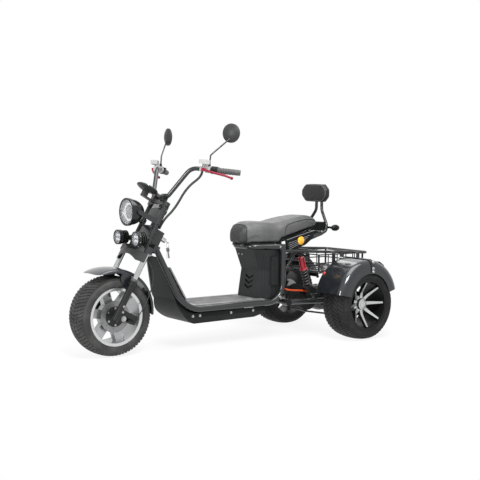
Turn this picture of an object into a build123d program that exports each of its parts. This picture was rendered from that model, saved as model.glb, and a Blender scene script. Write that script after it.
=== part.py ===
"""Electric tricycle scooter: one steered front wheel, two driven rear wheels, a tube frame and a two-up seat.

Stations are millimetres. X runs forward from the rear axle, Y to the left and Z up from the floor.
The finished pieces are moved along X so that the origin lies on the floor under the middle of the vehicle.
"""

import os
from math import asin, cos, radians, sin, sqrt

from build123d import *

# Stance
WHEELBASE = 1565
TRACK = 744
RAKE = 29.5

# Tyres and rims
FRONT_TYRE_D = 450
FRONT_TYRE_W = 184
REAR_TYRE_D = 442
REAR_TYRE_W = 213
LIP_D = 334
LIP_H = 15
BARREL_D = LIP_D - 2 * LIP_H
BARREL_WALL = 6
FRONT_RIM_W = 156
REAR_RIM_W = 196
LIP_T = 8
AXLE_D = 16
REAR_DISH = 66
FRONT_SPOKES = 6
REAR_SPOKES = 8
FRONT_SPOKE_TURN = -11
REAR_SPOKE_TURN = 7
DISC_ROOM = 62
FRONT_DISC_D = BARREL_D - 2 * DISC_ROOM
REAR_DISC_D = BARREL_D - 2 * DISC_ROOM
DISC_T = 4

# Clearances
FIT = 0.3
RUN = 0.05
SWING = 6

# Frame
TUBE_D = 34
RAIL_Y = 160
DECK_Z = 241
LOOP_X = 442
SEAT_RAIL_Z = 582
SEAT_RAIL_FRONT = 640
SEAT_RAIL_NOSE_Y = 86
SLOPE_FOOT_X = WHEELBASE - 397
HEAD_D = 52
NECK_Y = 45
NECK_BACK = 44
NECK_RISE = 70
GUSSET_H = 136

# Fork, measured along and across the steering axis from the front axle
AXLE_SET_BACK = 32
YOKE_OFFSET = 40
LEG_Y = 128
LEG_D = 38
LEG_TOP = 208
STANCHION_D = 30
LOWER_YOKE_Z = 383
LOWER_YOKE_T = 36
UPPER_YOKE_Z = 683
UPPER_YOKE_T = 24
NECK_TUBE_Y = 80
NECK_TUBE_D = 28
STEM_D = 25
BAR_D = 25.4

# Handlebar corners: clamp half width, then the two bends as X, Y, Z
BAR_CLAMP_Y = 75
BAR_BEND = (WHEELBASE - 415, 181, 1055)
BAR_END = (WHEELBASE - 607, 379, 1030)
GRIP_L = 122
GRIP_D = 34

# Body work
WALL = 4
BOX_Y = 138
BOX_FRONT_Y = 92
BOX_BACK_X = 436
BELLY_Y = 150
BELLY_Z = 152
SEAT_Z = SEAT_RAIL_Z + TUBE_D / 2 + FIT
SEAT_FRONT = 706
SEAT_BACK = 100
HINGE_PIN_D = 9
KNUCKLE_R = 9

# Rear end
FENDER_AIR = 31
FENDER_GAP = 6.5
FENDER_SET_IN = 15.5
FENDER_RISE = 30
FENDER_START = 11
FENDER_SPAN = 154
FENDER_FLANK = 83
FENDER_T = 4
FENDER_R = REAR_TYRE_D / 2 + FENDER_AIR
FENDER_IN = TRACK / 2 - REAR_TYRE_W / 2 - FENDER_SET_IN
FENDER_OUT = TRACK / 2 + REAR_TYRE_W / 2 + FENDER_GAP + FENDER_T
AXLE_TUBE_D = 56
GEAR_CASE_D = 170
MOTOR_D = 150
RACK_Y = 196
RACK_FRONT_Z = 556
RACK_REAR_Z = 522
RACK_TUBE_D = 18
RACK_BACK = -263
WIRE_D = 8
BASKET_FRONT = 160
BASKET_Z = 404

FRONT_R = FRONT_TYRE_D / 2
REAR_R = REAR_TYRE_D / 2
TUBE_R = TUBE_D / 2
REAR_REACH = RACK_TUBE_D / 2 - RACK_BACK
MID_X = (WHEELBASE + FRONT_R - REAR_REACH) / 2
FRONT_AXLE = Vector(WHEELBASE, 0, FRONT_R)
REAR_HUB_Y = TRACK / 2
SIDES = (1, -1)

# The fork's own frame: its X points forward across the steering axis, its Z up along it
FORK = Plane(FRONT_AXLE, x_dir=(cos(radians(RAKE)), 0, sin(radians(RAKE))), z_dir=(-sin(radians(RAKE)), 0, cos(radians(RAKE))))
STEER_X = AXLE_SET_BACK - YOKE_OFFSET


def fork_point(x, y, z):
    """A point of the fork's own frame, in the vehicle's frame."""
    return FORK.from_local_coords(Vector(x, y, z))


def fork_local(x, y, z):
    """A point of the vehicle's frame, in the fork's own frame."""
    return FORK.to_local_coords(Vector(x, y, z))


def mirrored(shape):
    return mirror(shape, about=Plane.XZ)


def both(shape):
    """The left piece and its right twin as one list."""
    return [shape, mirrored(shape)]


def tube(points, radius, bends):
    """A round bar along straight runs joined by tangent arcs."""
    path = FilletPolyline(*points, radius=bends) if len(points) > 2 else Line(*points)
    return sweep(Plane(path @ 0, z_dir=path % 0) * Circle(radius), path=path)


def rod(start, end, radius):
    """A straight round bar between two points."""
    start = Vector(*start)
    end = Vector(*end)
    return extrude(Plane(start, z_dir=end - start) * Circle(radius), (end - start).length)


def block(low, high):
    """A box between two corners."""
    size = [b - a for a, b in zip(low, high)]
    centre = [(a + b) / 2 for a, b in zip(low, high)]
    return Pos(*centre) * Box(*size)


def spun(points, angle=360):
    """A closed outline of radius and Y, turned about the Y axis."""
    outline = make_face(Polyline(*[(r, y) for r, y in points], close=True))
    return revolve(outline, Axis.Y, angle)


def side_plate(points, y_low, y_high):
    """An outline of X and Z, as thick as the two Y values say."""
    outline = make_face(Plane.XZ * Polyline(*points, close=True))
    return Pos(0, y_low, 0) * extrude(outline, y_high - y_low, dir=(0, 1, 0))


def cap(radius, base, height):
    """A shallow dome's arc from its rim to the axis, to be turned about the axis."""
    ball = (height**2 + radius**2) / (2 * height)
    half = asin(radius / ball) / 2
    return ThreePointArc((radius, base), (ball * sin(half), base + height - ball + ball * cos(half)), (0, base + height))


PIECES = {}


def keep(name, *shapes):
    """Stores a node's solids under its name."""
    solids = []
    for shape in shapes:
        for item in shape if isinstance(shape, list) else [shape]:
            solids.extend(item.solids())
    PIECES[name] = solids


# Wheels


def tyre(outer_r, width, rim_w):
    """A low tyre whose beads sit between the rim's lips and whose walls bulge past them."""
    seat = BARREL_D / 2 + FIT
    lip = LIP_D / 2
    bead = rim_w / 2 - LIP_T - FIT
    half = width / 2
    shoulder = outer_r - 14
    line = [
        Line((seat, -bead), (lip + FIT, -bead)),
        Line((lip + FIT, -bead), (lip + 6, -half + 4)),
        ThreePointArc((lip + 6, -half + 4), ((lip + shoulder) / 2, -half), (shoulder, -half + 9)),
        ThreePointArc((shoulder, -half + 9), (outer_r - 5, -half + 17), (outer_r - 1.5, -half + 32)),
        ThreePointArc((outer_r - 1.5, -half + 32), (outer_r, 0), (outer_r - 1.5, half - 32)),
        ThreePointArc((outer_r - 1.5, half - 32), (outer_r - 5, half - 17), (shoulder, half - 9)),
        ThreePointArc((shoulder, half - 9), ((lip + shoulder) / 2, half), (lip + 6, half - 4)),
        Line((lip + 6, half - 4), (lip + FIT, bead)),
        Line((lip + FIT, bead), (seat, bead)),
        Line((seat, bead), (seat, -bead)),
    ]
    return revolve(make_face(line), Axis.Y)


def rim_barrel(rim_w):
    """The rolled barrel with its two lips."""
    out = BARREL_D / 2
    inner = out - BARREL_WALL
    half = rim_w / 2
    return spun(
        [
            (inner, -half + 3),
            (LIP_D / 2 - 4, -half),
            (LIP_D / 2, -half + 3),
            (LIP_D / 2, -half + LIP_T),
            (out, -half + LIP_T),
            (out, half - LIP_T),
            (LIP_D / 2, half - LIP_T),
            (LIP_D / 2, half - 3),
            (LIP_D / 2 - 4, half),
            (inner, half - 3),
        ]
    )


def spoke_fan(count, root_w, tip_w, reach, depth, lean=0):
    """Tapered spokes round the Y axis, as deep as the barrel, to be trimmed to the wheel's dish."""
    outline = make_face(Polyline((0, -root_w / 2), (0, root_w / 2), (reach, lean + tip_w / 2), (reach, lean - tip_w / 2), close=True))
    one = Plane.XZ * outline
    one = extrude(one, depth / 2, both=True)
    return [Rot(0, 360 * i / count, 0) * one for i in range(count)]


HUB_HALF = 56


def front_wheel():
    """Cast wheel with broad spokes, its brake disc bolted to the hub's left side."""
    reach = BARREL_D / 2 - 1
    hub_r = 62
    hub_half = HUB_HALF
    dish = spun([(0, -22), (hub_r, -22), (reach, -8), (reach, 34), (hub_r, 30), (0, 30)])
    fan = spoke_fan(FRONT_SPOKES, 42, 56, reach, 120)
    spokes = Rot(0, FRONT_SPOKE_TURN, 0) * (fan[0].fuse(*fan[1:]) & dish)
    hub = spun([(0, -hub_half), (34, -hub_half), (hub_r, -26), (hub_r, 34), (46, 40), (46, hub_half), (0, hub_half)])
    ring = spun([(hub_r - 2, -20), (hub_r + 16, -16), (hub_r + 16, 28), (hub_r - 2, 32)])
    bore = Rot(90, 0, 0) * Cylinder(AXLE_D / 2 + RUN, 4 * hub_half)
    rim = rim_barrel(FRONT_RIM_W) + spokes + hub + ring - bore
    disc_y = hub_half - DISC_T
    disc = spun([(46 + FIT, disc_y), (FRONT_DISC_D / 2, disc_y), (FRONT_DISC_D / 2, hub_half), (46 + FIT, hub_half)])
    for i in range(18):
        disc -= Rot(0, 20 * i, 0) * Pos(FRONT_DISC_D / 2 - (8 if i % 2 else 22), disc_y, 0) * Rot(90, 0, 0) * Cylinder(3, 4 * DISC_T)
    place = Pos(*FRONT_AXLE)
    keep("front_tyre", place * tyre(FRONT_R, FRONT_TYRE_W, FRONT_RIM_W))
    keep("front_rim", place * rim)
    keep("front_brake_disc", place * disc)


def rear_wheel_left():
    """Deep-dished wheel: thin blades run from a sunken hub out to the lip. Built round the Y axis at the hub's centre."""
    half = REAR_RIM_W / 2
    reach = BARREL_D / 2 - 1
    face = half - REAR_DISH
    hub_r = 50
    tip = half - 5
    envelope = spun([(0, face - 34), (hub_r, face - 34), (reach, tip - 26), (reach, tip), (hub_r + 22, face + 8), (hub_r, face), (0, face)])
    fan = spoke_fan(REAR_SPOKES, 27, 10, reach, 4 * half, lean=12)
    spokes = Rot(0, REAR_SPOKE_TURN, 0) * (fan[0].fuse(*fan[1:]) & envelope)
    hub_back = -half + 30
    hub = spun([(0, hub_back), (40, hub_back), (44, face - 34), (hub_r + 6, face - 30), (hub_r + 6, face - 8), (36, face), (34, face + 14), (26, face + 18), (0, face + 18)])
    bore = Rot(90, 0, 0) * Pos(0, 0, -(face - 40)) * Cylinder(AXLE_D / 2 + RUN, 400, align=(Align.CENTER, Align.CENTER, Align.MIN))
    rim = rim_barrel(REAR_RIM_W) + spokes + hub - bore
    disc = spun([(41, hub_back + 2), (REAR_DISC_D / 2, hub_back + 2), (REAR_DISC_D / 2, hub_back + 2 + DISC_T), (41, hub_back + 2 + DISC_T)])
    return tyre(REAR_R, REAR_TYRE_W, REAR_RIM_W), rim, disc


def rear_wheels():
    place = Pos(0, REAR_HUB_Y, REAR_R)
    names = ("rear_tyre", "rear_rim", "rear_brake_disc")
    for name, shape in zip(names, rear_wheel_left()):
        left = place * shape
        keep(name + "_left", left)
        keep(name + "_right", mirrored(left))


# Steering body


def front_fork():
    """Telescopic fork: black legs, bright stanchions, two yokes and the bars between them."""
    half_t = LEG_D / 2
    leg_line = AXLE_SET_BACK
    axle_lug = Rot(90, 0, 0) * Cylinder(20, LEG_D)
    arm = block((0, -half_t, -16), (leg_line, half_t, 16))
    leg = Pos(leg_line, 0, -30) * Cylinder(half_t, LEG_TOP + 30, align=(Align.CENTER, Align.CENTER, Align.MIN))
    collar = Pos(leg_line, 0, LEG_TOP - 26) * Cylinder(half_t + 4, 26, align=(Align.CENTER, Align.CENTER, Align.MIN))
    socket_depth = 60
    socket = Pos(leg_line, 0, LEG_TOP - socket_depth) * Cylinder(STANCHION_D / 2 + FIT, 200, align=(Align.CENTER, Align.CENTER, Align.MIN))
    leg = leg + collar + arm + axle_lug - socket
    caliper_tab = block((-72, -TAB_T / 2, 20), (leg_line, TAB_T / 2, 46))
    left = Pos(0, LEG_Y, 0) * (leg + caliper_tab)
    right = Pos(0, -LEG_Y, 0) * leg
    axle = Rot(90, 0, 0) * Cylinder(AXLE_D / 2, 2 * LEG_Y)
    spacer = rod((0, HUB_HALF + RUN * 10, 0), (0, LEG_Y, 0), AXLE_D / 2 + 6)
    keep("fork_legs", FORK * (left + right + axle + spacer + mirrored(spacer)))

    top = LOWER_YOKE_Z + LOWER_YOKE_T
    bottom = LEG_TOP - socket_depth + FIT
    bar = Pos(leg_line, LEG_Y, bottom) * Cylinder(STANCHION_D / 2, top - bottom, align=(Align.CENTER, Align.CENTER, Align.MIN))
    keep("stanchions", [FORK * s for s in both(bar)])

    clamp_r = STANCHION_D / 2 + 11
    outline = make_hull(
        [
            *(Pos(leg_line, LEG_Y, 0) * Circle(clamp_r)).edges(),
            *(Pos(leg_line, -LEG_Y, 0) * Circle(clamp_r)).edges(),
            *(Pos(STEER_X, 0, 0) * Circle(HEAD_D / 2 + 6)).edges(),
        ]
    )
    lower = Pos(0, 0, LOWER_YOKE_Z) * extrude(outline, LOWER_YOKE_T)
    for side in SIDES:
        lower -= Pos(leg_line, side * LEG_Y, LOWER_YOKE_Z - 5) * Cylinder(STANCHION_D / 2 + FIT, 200, align=(Align.CENTER, Align.CENTER, Align.MIN))
    stem_top = UPPER_YOKE_Z + UPPER_YOKE_T
    stem = Pos(STEER_X, 0, top - 2) * Cylinder(STEM_D / 2, stem_top - top + 2, align=(Align.CENTER, Align.CENTER, Align.MIN))
    keep("lower_yoke", FORK * (lower + stem))

    neck_r = NECK_TUBE_D / 2
    outline = make_hull(
        [
            *(Pos(leg_line, NECK_TUBE_Y, 0) * Circle(neck_r + 7)).edges(),
            *(Pos(leg_line, -NECK_TUBE_Y, 0) * Circle(neck_r + 7)).edges(),
            *(Pos(STEER_X, 0, 0) * Circle(HEAD_D / 2 + 2)).edges(),
        ]
    )
    upper = Pos(0, 0, UPPER_YOKE_Z) * extrude(outline, UPPER_YOKE_T)
    for side in SIDES:
        upper += Pos(leg_line, side * NECK_TUBE_Y, top) * Cylinder(neck_r, UPPER_YOKE_Z - top + 2, align=(Align.CENTER, Align.CENTER, Align.MIN))
        upper += bar_riser(side)
    upper -= Pos(STEER_X, 0, UPPER_YOKE_Z - 5) * Cylinder(STEM_D / 2 + FIT, 200, align=(Align.CENTER, Align.CENTER, Align.MIN))
    keep("upper_yoke", FORK * upper)


BAR_LOCAL = (AXLE_SET_BACK + 12, UPPER_YOKE_Z + UPPER_YOKE_T + 30)
RISER_Y = 44
RISER_W = 30


def bar_riser(side):
    """One clamp block on the top yoke that holds the bar."""
    x, z = BAR_LOCAL
    base = UPPER_YOKE_Z + UPPER_YOKE_T
    post = block((x - 19, side * RISER_Y - RISER_W / 2, base), (x + 19, side * RISER_Y + RISER_W / 2, z))
    cap = Pos(x, side * RISER_Y, z) * Rot(90, 0, 0) * Cylinder(19, RISER_W)
    hole = Pos(x, side * RISER_Y, z) * Rot(90, 0, 0) * Cylinder(BAR_D / 2 + FIT, 2 * RISER_W)
    return post + cap - hole


def bar_centre():
    x, z = BAR_LOCAL
    return fork_point(x, 0, z)


def bar_direction():
    """Unit vector outward along the left grip."""
    return (Vector(*BAR_END) - Vector(*BAR_BEND)).normalized()


def grip_plane(distance):
    """A plane across the left bar, so far in from its end. Its X points forward and its Z outward."""
    along = bar_direction()
    forward = Vector(-along.Y, along.X, 0).normalized() * -1
    return Plane(Vector(*BAR_END) - along * distance, x_dir=forward, z_dir=along)


LEVER_D = 13
POD_L = 34
POD_R = 22
POD_AT = GRIP_L + 4 + POD_L / 2


def handlebar():
    """High pull-back bar with grips, switch pods, brake masters, levers and mirrors."""
    centre = bar_centre()
    half = [BAR_END, BAR_BEND, (centre.X, BAR_CLAMP_Y, centre.Z)]
    points = half + [(x, -y, z) for x, y, z in reversed(half)]
    keep("handlebar", tube(points, BAR_D / 2, [70, 36, 36, 70]))

    hole = BAR_D / 2 + FIT
    grip = [(hole, 0), (GRIP_D / 2 + 3, 0), (GRIP_D / 2 + 3, 6), (GRIP_D / 2, 8)]
    for i in range(6):
        start = 16 + i * 15
        grip += [(GRIP_D / 2, start), (GRIP_D / 2 - 1.5, start + 2), (GRIP_D / 2 - 1.5, start + 4), (GRIP_D / 2, start + 6)]
    cap = 5
    grip += [(GRIP_D / 2 - 1, GRIP_L + cap), (0, GRIP_L + cap), (0, GRIP_L + FIT), (hole, GRIP_L + FIT)]
    profile = make_face(Plane.XZ * Polyline(*grip, close=True))
    grip_solid = grip_plane(GRIP_L) * revolve(profile, Axis.Z)
    keep("grips", both(grip_solid))

    pod = Cylinder(POD_R, POD_L) + Pos(-14, 0, 0) * Box(24, 30, POD_L) - Cylinder(hole, 2 * POD_L)
    keep("switch_pods", both(grip_plane(POD_AT) * pod))

    master = Cylinder(19, 28) - Cylinder(hole, 60)
    body = block((10, -16, -42), (34, 10, 17)) - Cylinder(hole + 4, 200)
    reservoir = block((12, -54, -46), (52, -30, 14))
    neck = block((12, -32, -30), (32, -14, 4)) - Cylinder(hole + 4, 200)
    brake_at = POD_AT + POD_L / 2 + 20
    keep("brake_masters", both(grip_plane(brake_at) * (master + body + reservoir + neck)))

    pivot = (34 + 6, 4, -16)
    lever = tube([pivot, (50, 12, 30), (46, 24, 110), (40, 34, brake_at - 34)], LEVER_D / 2, [40, 60])
    lever += Pos(40, 34, brake_at - 34) * Sphere(9)
    lever += block((34 + FIT, -8, -30), (48, 10, -4))
    keep("brake_levers", both(grip_plane(brake_at) * lever))
    mirrors(brake_at)


# Mirrors by side: the head's X, Y and Z, and its yaw from straight ahead in degrees
MIRRORS = {1: (WHEELBASE - 565, 352, 1251, 24), -1: (WHEELBASE - 597, -352, 1251, -9)}
MIRROR_R = 54
MIRROR_RIM = 8
MIRROR_DOME = 16
MIRROR_STEM_D = 9


def mirrors(brake_at):
    """Round mirrors on bent stems that stand in the brake masters' clamps."""
    foot = grip_plane(brake_at).from_local_coords(Vector(0, -20, 6))
    arms = []
    heads = []
    for side in SIDES:
        x, y, z, yaw = MIRRORS[side]
        facing = Vector(cos(radians(yaw)), sin(radians(yaw)), 0)
        back = Plane((x, y, z), x_dir=(0, 0, 1), z_dir=facing)
        head = back * mirror_head(0)
        socket = back.from_local_coords(Vector(-MIRROR_R * 0.55, 0, 8))
        knee = Vector(foot.X - 6, side * (foot.Y + 3), foot.Z + 62)
        start = Vector(foot.X, side * foot.Y, foot.Z + FIT)
        arm = tube([start, knee, socket], MIRROR_STEM_D / 2, 14)
        nut = Pos(*start) * extrude(RegularPolygon(9, 6), 16)
        heads.append(head)
        arms.append(arm + nut - back * mirror_head(FIT))
    keep("mirror_heads", heads)
    keep("mirror_stems", arms)


def mirror_head(grown):
    """A domed mirror back, grown by so much to trim the stem that meets it."""
    rim = MIRROR_R + grown
    dome = make_face(
        [
            Line((0, -MIRROR_RIM - grown), (rim, -MIRROR_RIM - grown)),
            Line((rim, -MIRROR_RIM - grown), (rim, grown)),
            cap(rim, grown, MIRROR_DOME),
            Line((0, MIRROR_DOME + grown), (0, -MIRROR_RIM - grown)),
        ]
    )
    return revolve(Plane.XZ * dome, Axis.Z)


# Headlamp: the rim's centre, its radius and the bowl's depth
LAMP_X = WHEELBASE - 103
LAMP_Z = 803
LAMP_R = 79
LAMP_DEPTH = 104
SPOT_R = 42
SPOT_DEPTH = 66
SPOT_Y = 100
SPOT_Z = 656
SPOT_X = WHEELBASE - 98
EAR_T = 5


def lamps():
    """Bowl headlamp and two finned spot lamps, with the bracket that carries them."""
    skin = 4
    bowl = make_face(
        [
            Line((0, -LAMP_DEPTH), (18, -LAMP_DEPTH)),
            ThreePointArc((18, -LAMP_DEPTH), (60, -68), (LAMP_R - 4, -14)),
            Line((LAMP_R - 4, -14), (LAMP_R, -12)),
            Line((LAMP_R, -12), (LAMP_R, 4)),
            Line((LAMP_R, 4), (LAMP_R - 7, 6)),
            Line((LAMP_R - 7, 6), (LAMP_R - 9, -14)),
            ThreePointArc((LAMP_R - 9, -14), (56, -65), (14, -LAMP_DEPTH + skin)),
            Line((14, -LAMP_DEPTH + skin), (0, -LAMP_DEPTH + skin)),
            Line((0, -LAMP_DEPTH + skin), (0, -LAMP_DEPTH)),
        ]
    )
    ahead = Plane((LAMP_X, 0, LAMP_Z), x_dir=(0, 1, 0), z_dir=(1, 0, 0))
    shell = ahead * revolve(Plane.XZ * bowl, Axis.Z)
    bolt_x = LAMP_X - 38
    boss = rod((bolt_x, -NECK_TUBE_Y - 2, LAMP_Z), (bolt_x, NECK_TUBE_Y + 2, LAMP_Z), 9)
    inside = ahead * revolve(Plane.XZ * make_face(Polyline((0, -LAMP_DEPTH + 8), (20, -LAMP_DEPTH + 8), (56, -66), (66, -36), (66, 10), (0, 10), close=True)), Axis.Z)
    keep("headlamp_shell", shell + (boss - inside))

    mirror_r = LAMP_R - 9.4
    dish = make_face(Polyline((16, -44), (mirror_r, -12), (mirror_r, -3), (mirror_r - 4, -3), (mirror_r - 4, -10), (26, -36), (26, -14), (0, -14), (0, -44), close=True))
    keep("headlamp_reflector", ahead * revolve(Plane.XZ * dish, Axis.Z))

    glass = make_face(
        [
            Line((0, -3 + FIT), (mirror_r, -3 + FIT)),
            Line((mirror_r, -3 + FIT), (mirror_r, 2)),
            cap(mirror_r, 2, 6),
            Line((0, 8), (0, -3 + FIT)),
        ]
    )
    lenses = [ahead * revolve(Plane.XZ * glass, Axis.Z)]

    spots = []
    for side in SIDES:
        face = Plane((SPOT_X, side * SPOT_Y, SPOT_Z), x_dir=(0, 1, 0), z_dir=(1, 0, 0))
        fins = [(0, -SPOT_DEPTH), (20, -SPOT_DEPTH)]
        for i in range(3):
            start = -SPOT_DEPTH + 6 + 12 * i
            fins += [(22 + 2 * i, start), (SPOT_R - 4, start), (SPOT_R - 4, start + 5), (22 + 2 * i, start + 5)]
        fins += [(SPOT_R - 6, -26), (SPOT_R, -22), (SPOT_R, 0), (SPOT_R - 5, 0), (SPOT_R - 5, -8), (0, -8)]
        spots.append(face * revolve(Plane.XZ * make_face(Polyline(*fins, close=True)), Axis.Z))
        pane = make_face(Polyline((0, -8 + FIT), (SPOT_R - 5 - FIT, -8 + FIT), (SPOT_R - 5 - FIT, -3), (0, -1), close=True))
        lenses.append(face * revolve(Plane.XZ * pane, Axis.Z))
    keep("spot_lamps", spots)
    keep("lamp_lenses", lenses)
    lamp_bracket(bolt_x)


def lamp_bracket(bolt_x):
    """Pressed ears clamped to the neck tubes, and a cross bar for the spot lamps."""
    reach = fork_local(bolt_x, 0, LAMP_Z)
    ears = []
    inner = NECK_TUBE_Y + 2 + FIT
    for side in SIDES:
        ear = make_hull(
            [
                *(Pos(reach.X, reach.Z, 0) * Circle(13)).edges(),
                *(Pos(AXLE_SET_BACK, reach.Z + 6, 0) * Circle(16)).edges(),
            ]
        )
        plate = Plane((0, side * inner if side > 0 else -inner - EAR_T, 0), x_dir=(1, 0, 0), z_dir=(0, -1, 0)) * ear
        plate = extrude(plate, EAR_T, dir=(0, 1, 0))
        ring = Pos(AXLE_SET_BACK, side * NECK_TUBE_Y, reach.Z - 8) * Cylinder(NECK_TUBE_D / 2 + 6, 28, align=(Align.CENTER, Align.CENTER, Align.MIN))
        hole = Pos(AXLE_SET_BACK, side * NECK_TUBE_Y, reach.Z - 40) * Cylinder(NECK_TUBE_D / 2 + FIT, 100, align=(Align.CENTER, Align.CENTER, Align.MIN))
        ears.append(FORK * (plate + ring - hole))
    back = fork_local(SPOT_X - SPOT_DEPTH, 0, SPOT_Z)
    bar_front = AXLE_SET_BACK + NECK_TUBE_D / 2 + FIT
    bar = block((bar_front, -SPOT_Y - 16, back.Z - 12), (bar_front + 6, SPOT_Y + 16, back.Z + 12))
    for side in SIDES:
        ring = Pos(AXLE_SET_BACK, side * NECK_TUBE_Y, back.Z - 12) * Cylinder(NECK_TUBE_D / 2 + 6, 24, align=(Align.CENTER, Align.CENTER, Align.MIN))
        bar += ring
    for side in SIDES:
        bar -= Pos(AXLE_SET_BACK, side * NECK_TUBE_Y, back.Z - 60) * Cylinder(NECK_TUBE_D / 2 + FIT, 120, align=(Align.CENTER, Align.CENTER, Align.MIN))
    bar = FORK * bar
    for side in SIDES:
        lug = rod((SPOT_X - SPOT_DEPTH - FIT, side * SPOT_Y, SPOT_Z), (SPOT_X - SPOT_DEPTH - 40, side * SPOT_Y, SPOT_Z), 10)
        slab = FORK * block((bar_front, -300, back.Z - 40), (bar_front + 200, 300, back.Z + 60))
        bar += lug & slab
    keep("lamp_bracket", ears, bar)


DISPLAY_R = 65


def display():
    """Round instrument on a stalk from the top yoke, tipped back to the rider."""
    x = AXLE_SET_BACK + 112
    z = BAR_LOCAL[1] - 14
    dish = make_face(
        [
            Line((0, 0), (DISPLAY_R - 6, 0)),
            ThreePointArc((DISPLAY_R - 6, 0), (DISPLAY_R - 1, -3), (DISPLAY_R, -8)),
            ThreePointArc((DISPLAY_R, -8), (DISPLAY_R * 0.7, -19), (0, -24)),
            Line((0, -24), (0, 0)),
        ]
    )
    pod = Pos(x, 0, z + 20) * revolve(Plane.XZ * dish, Axis.Z)
    front = AXLE_SET_BACK + NECK_TUBE_D / 2 + 7 + FIT
    stalk = block((front, -16, UPPER_YOKE_Z), (x + 14, 16, UPPER_YOKE_Z + 8))
    stalk += block((x - 14, -16, UPPER_YOKE_Z), (x + 14, 16, z + 10))
    keep("display", FORK * (pod + (stalk - Pos(x, 0, z + 20 + 30) * Cylinder(DISPLAY_R, 60))))


SHROUD_Y = 154
SHROUD_FRONT = 86
SHROUD_BOW = 46
SHROUD_LOW = 326
SHROUD_HIGH = LOWER_YOKE_Z - FIT


def fork_shroud():
    """Bowed visor in front of the lower yoke, arched over the wheel."""
    radius = (SHROUD_Y**2 + SHROUD_BOW**2) / (2 * SHROUD_BOW)
    centre_x = SHROUD_FRONT - radius
    height = SHROUD_HIGH - SHROUD_LOW
    ring = Pos(centre_x, 0, SHROUD_LOW) * (Cylinder(radius, height, align=(Align.CENTER, Align.CENTER, Align.MIN)) - Cylinder(radius - WALL, height, align=(Align.CENTER, Align.CENTER, Align.MIN)))
    front = block((SHROUD_FRONT - SHROUD_BOW, -SHROUD_Y, SHROUD_LOW), (SHROUD_FRONT, SHROUD_Y, SHROUD_HIGH))
    band = ring & front
    tube_front = AXLE_SET_BACK + STANCHION_D / 2 + 3
    roof = Pos(centre_x, 0, SHROUD_HIGH - WALL) * Cylinder(radius - WALL / 2, WALL, align=(Align.CENTER, Align.CENTER, Align.MIN))
    roof = roof & block((tube_front, -SHROUD_Y, SHROUD_LOW), (SHROUD_FRONT, SHROUD_Y, SHROUD_HIGH))
    arch_r = 190
    arch = Pos(SHROUD_FRONT - 20, 0, SHROUD_LOW + 26 - arch_r) * Rot(0, 90, 0) * Cylinder(arch_r, 200)
    keep("fork_shroud", FORK * (band + roof - arch))


FENDER_FRONT_R = 251
FENDER_FRONT_START = 62
FENDER_FRONT_SPAN = 124
FENDER_SHIFT = (13, 23)
FENDER_HALF = 101
FENDER_SKIN = 3


def front_fender():
    """Close mudguard on the fork legs, pointed at the front."""
    r = FENDER_FRONT_R
    half = FENDER_HALF
    skirt = r - 28
    t = FENDER_SKIN
    outer = make_face(
        [
            Line((skirt, -half), (r - 24, -half)),
            ThreePointArc((r - 24, -half), (r - 13, -half + 5), (r - 7, -half + 16)),
            ThreePointArc((r - 7, -half + 16), (r, 0), (r - 7, half - 16)),
            ThreePointArc((r - 7, half - 16), (r - 13, half - 5), (r - 24, half)),
            Line((r - 24, half), (skirt, half)),
            Line((skirt, half), (skirt, half - t)),
            Line((skirt, half - t), (r - 24, half - t)),
            ThreePointArc((r - 24, half - t), (r - 15, half - 7), (r - 10, half - 17)),
            ThreePointArc((r - 10, half - 17), (r - t, 0), (r - 10, -half + 17)),
            ThreePointArc((r - 10, -half + 17), (r - 15, -half + 7), (r - 24, -half + t)),
            Line((r - 24, -half + t), (skirt, -half + t)),
            Line((skirt, -half + t), (skirt, -half)),
        ]
    )
    start = FENDER_FRONT_START
    shell = Rot(0, -start, 0) * revolve(outer, Axis.Y, -FENDER_FRONT_SPAN)
    nose = [(r - 5, start), (skirt, start + 24), (skirt - 60, start + 20), (r - 5, start - 20)]
    nose = [(radius * cos(radians(a)), radius * sin(radians(a))) for radius, a in nose]
    shell -= side_plate(nose, -2 * half, 2 * half)
    place = Pos(FRONT_AXLE.X + FENDER_SHIFT[0], 0, FRONT_AXLE.Z + FENDER_SHIFT[1])
    shell = place * shell
    boss_z = LEG_TOP - 40
    inner = LEG_Y - LEG_D / 2 - FIT
    seat = fork_point(AXLE_SET_BACK, 0, boss_z)
    for side in SIDES:
        y0 = side * (half - FENDER_SKIN)
        shell += rod((seat.X, y0, seat.Z), (seat.X, side * inner, seat.Z), 10)
        shell += side_plate_tab(seat, side * (half - FENDER_SKIN), side * half)
    keep("front_fender", shell)


def side_plate_tab(seat, y_a, y_b):
    """A tab on the mudguard's flank that carries its fork boss."""
    low = min(y_a, y_b)
    outline = make_hull(
        [
            *(Pos(seat.X, seat.Z) * Circle(16)).edges(),
            *(Pos(seat.X + 10, seat.Z + 52) * Circle(34)).edges(),
        ]
    )
    return Pos(0, low, 0) * extrude(Plane.XZ * outline, FENDER_SKIN, dir=(0, 1, 0))


CALIPER_OUT = 98
CALIPER_TOP = 54
TAB_T = 16


def front_caliper():
    """Two-piston caliper over the disc's rear edge, on the left leg's tab."""
    edge = FRONT_DISC_D / 2
    disc_low = HUB_HALF - DISC_T
    body = block((-edge - 22, disc_low - 13, 4), (-edge + 28, CALIPER_OUT, CALIPER_TOP))
    slot = block((-edge - 6, disc_low - 3, -20), (-edge + 40, HUB_HALF + 3, 90))
    mount = block((-84, CALIPER_OUT - 1, 20), (-56, LEG_Y - TAB_T / 2 - FIT, 46))
    body = body - slot + mount
    keep("front_caliper", FORK * body)


HOSE_D = 6
LOOM_D = 14


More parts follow.
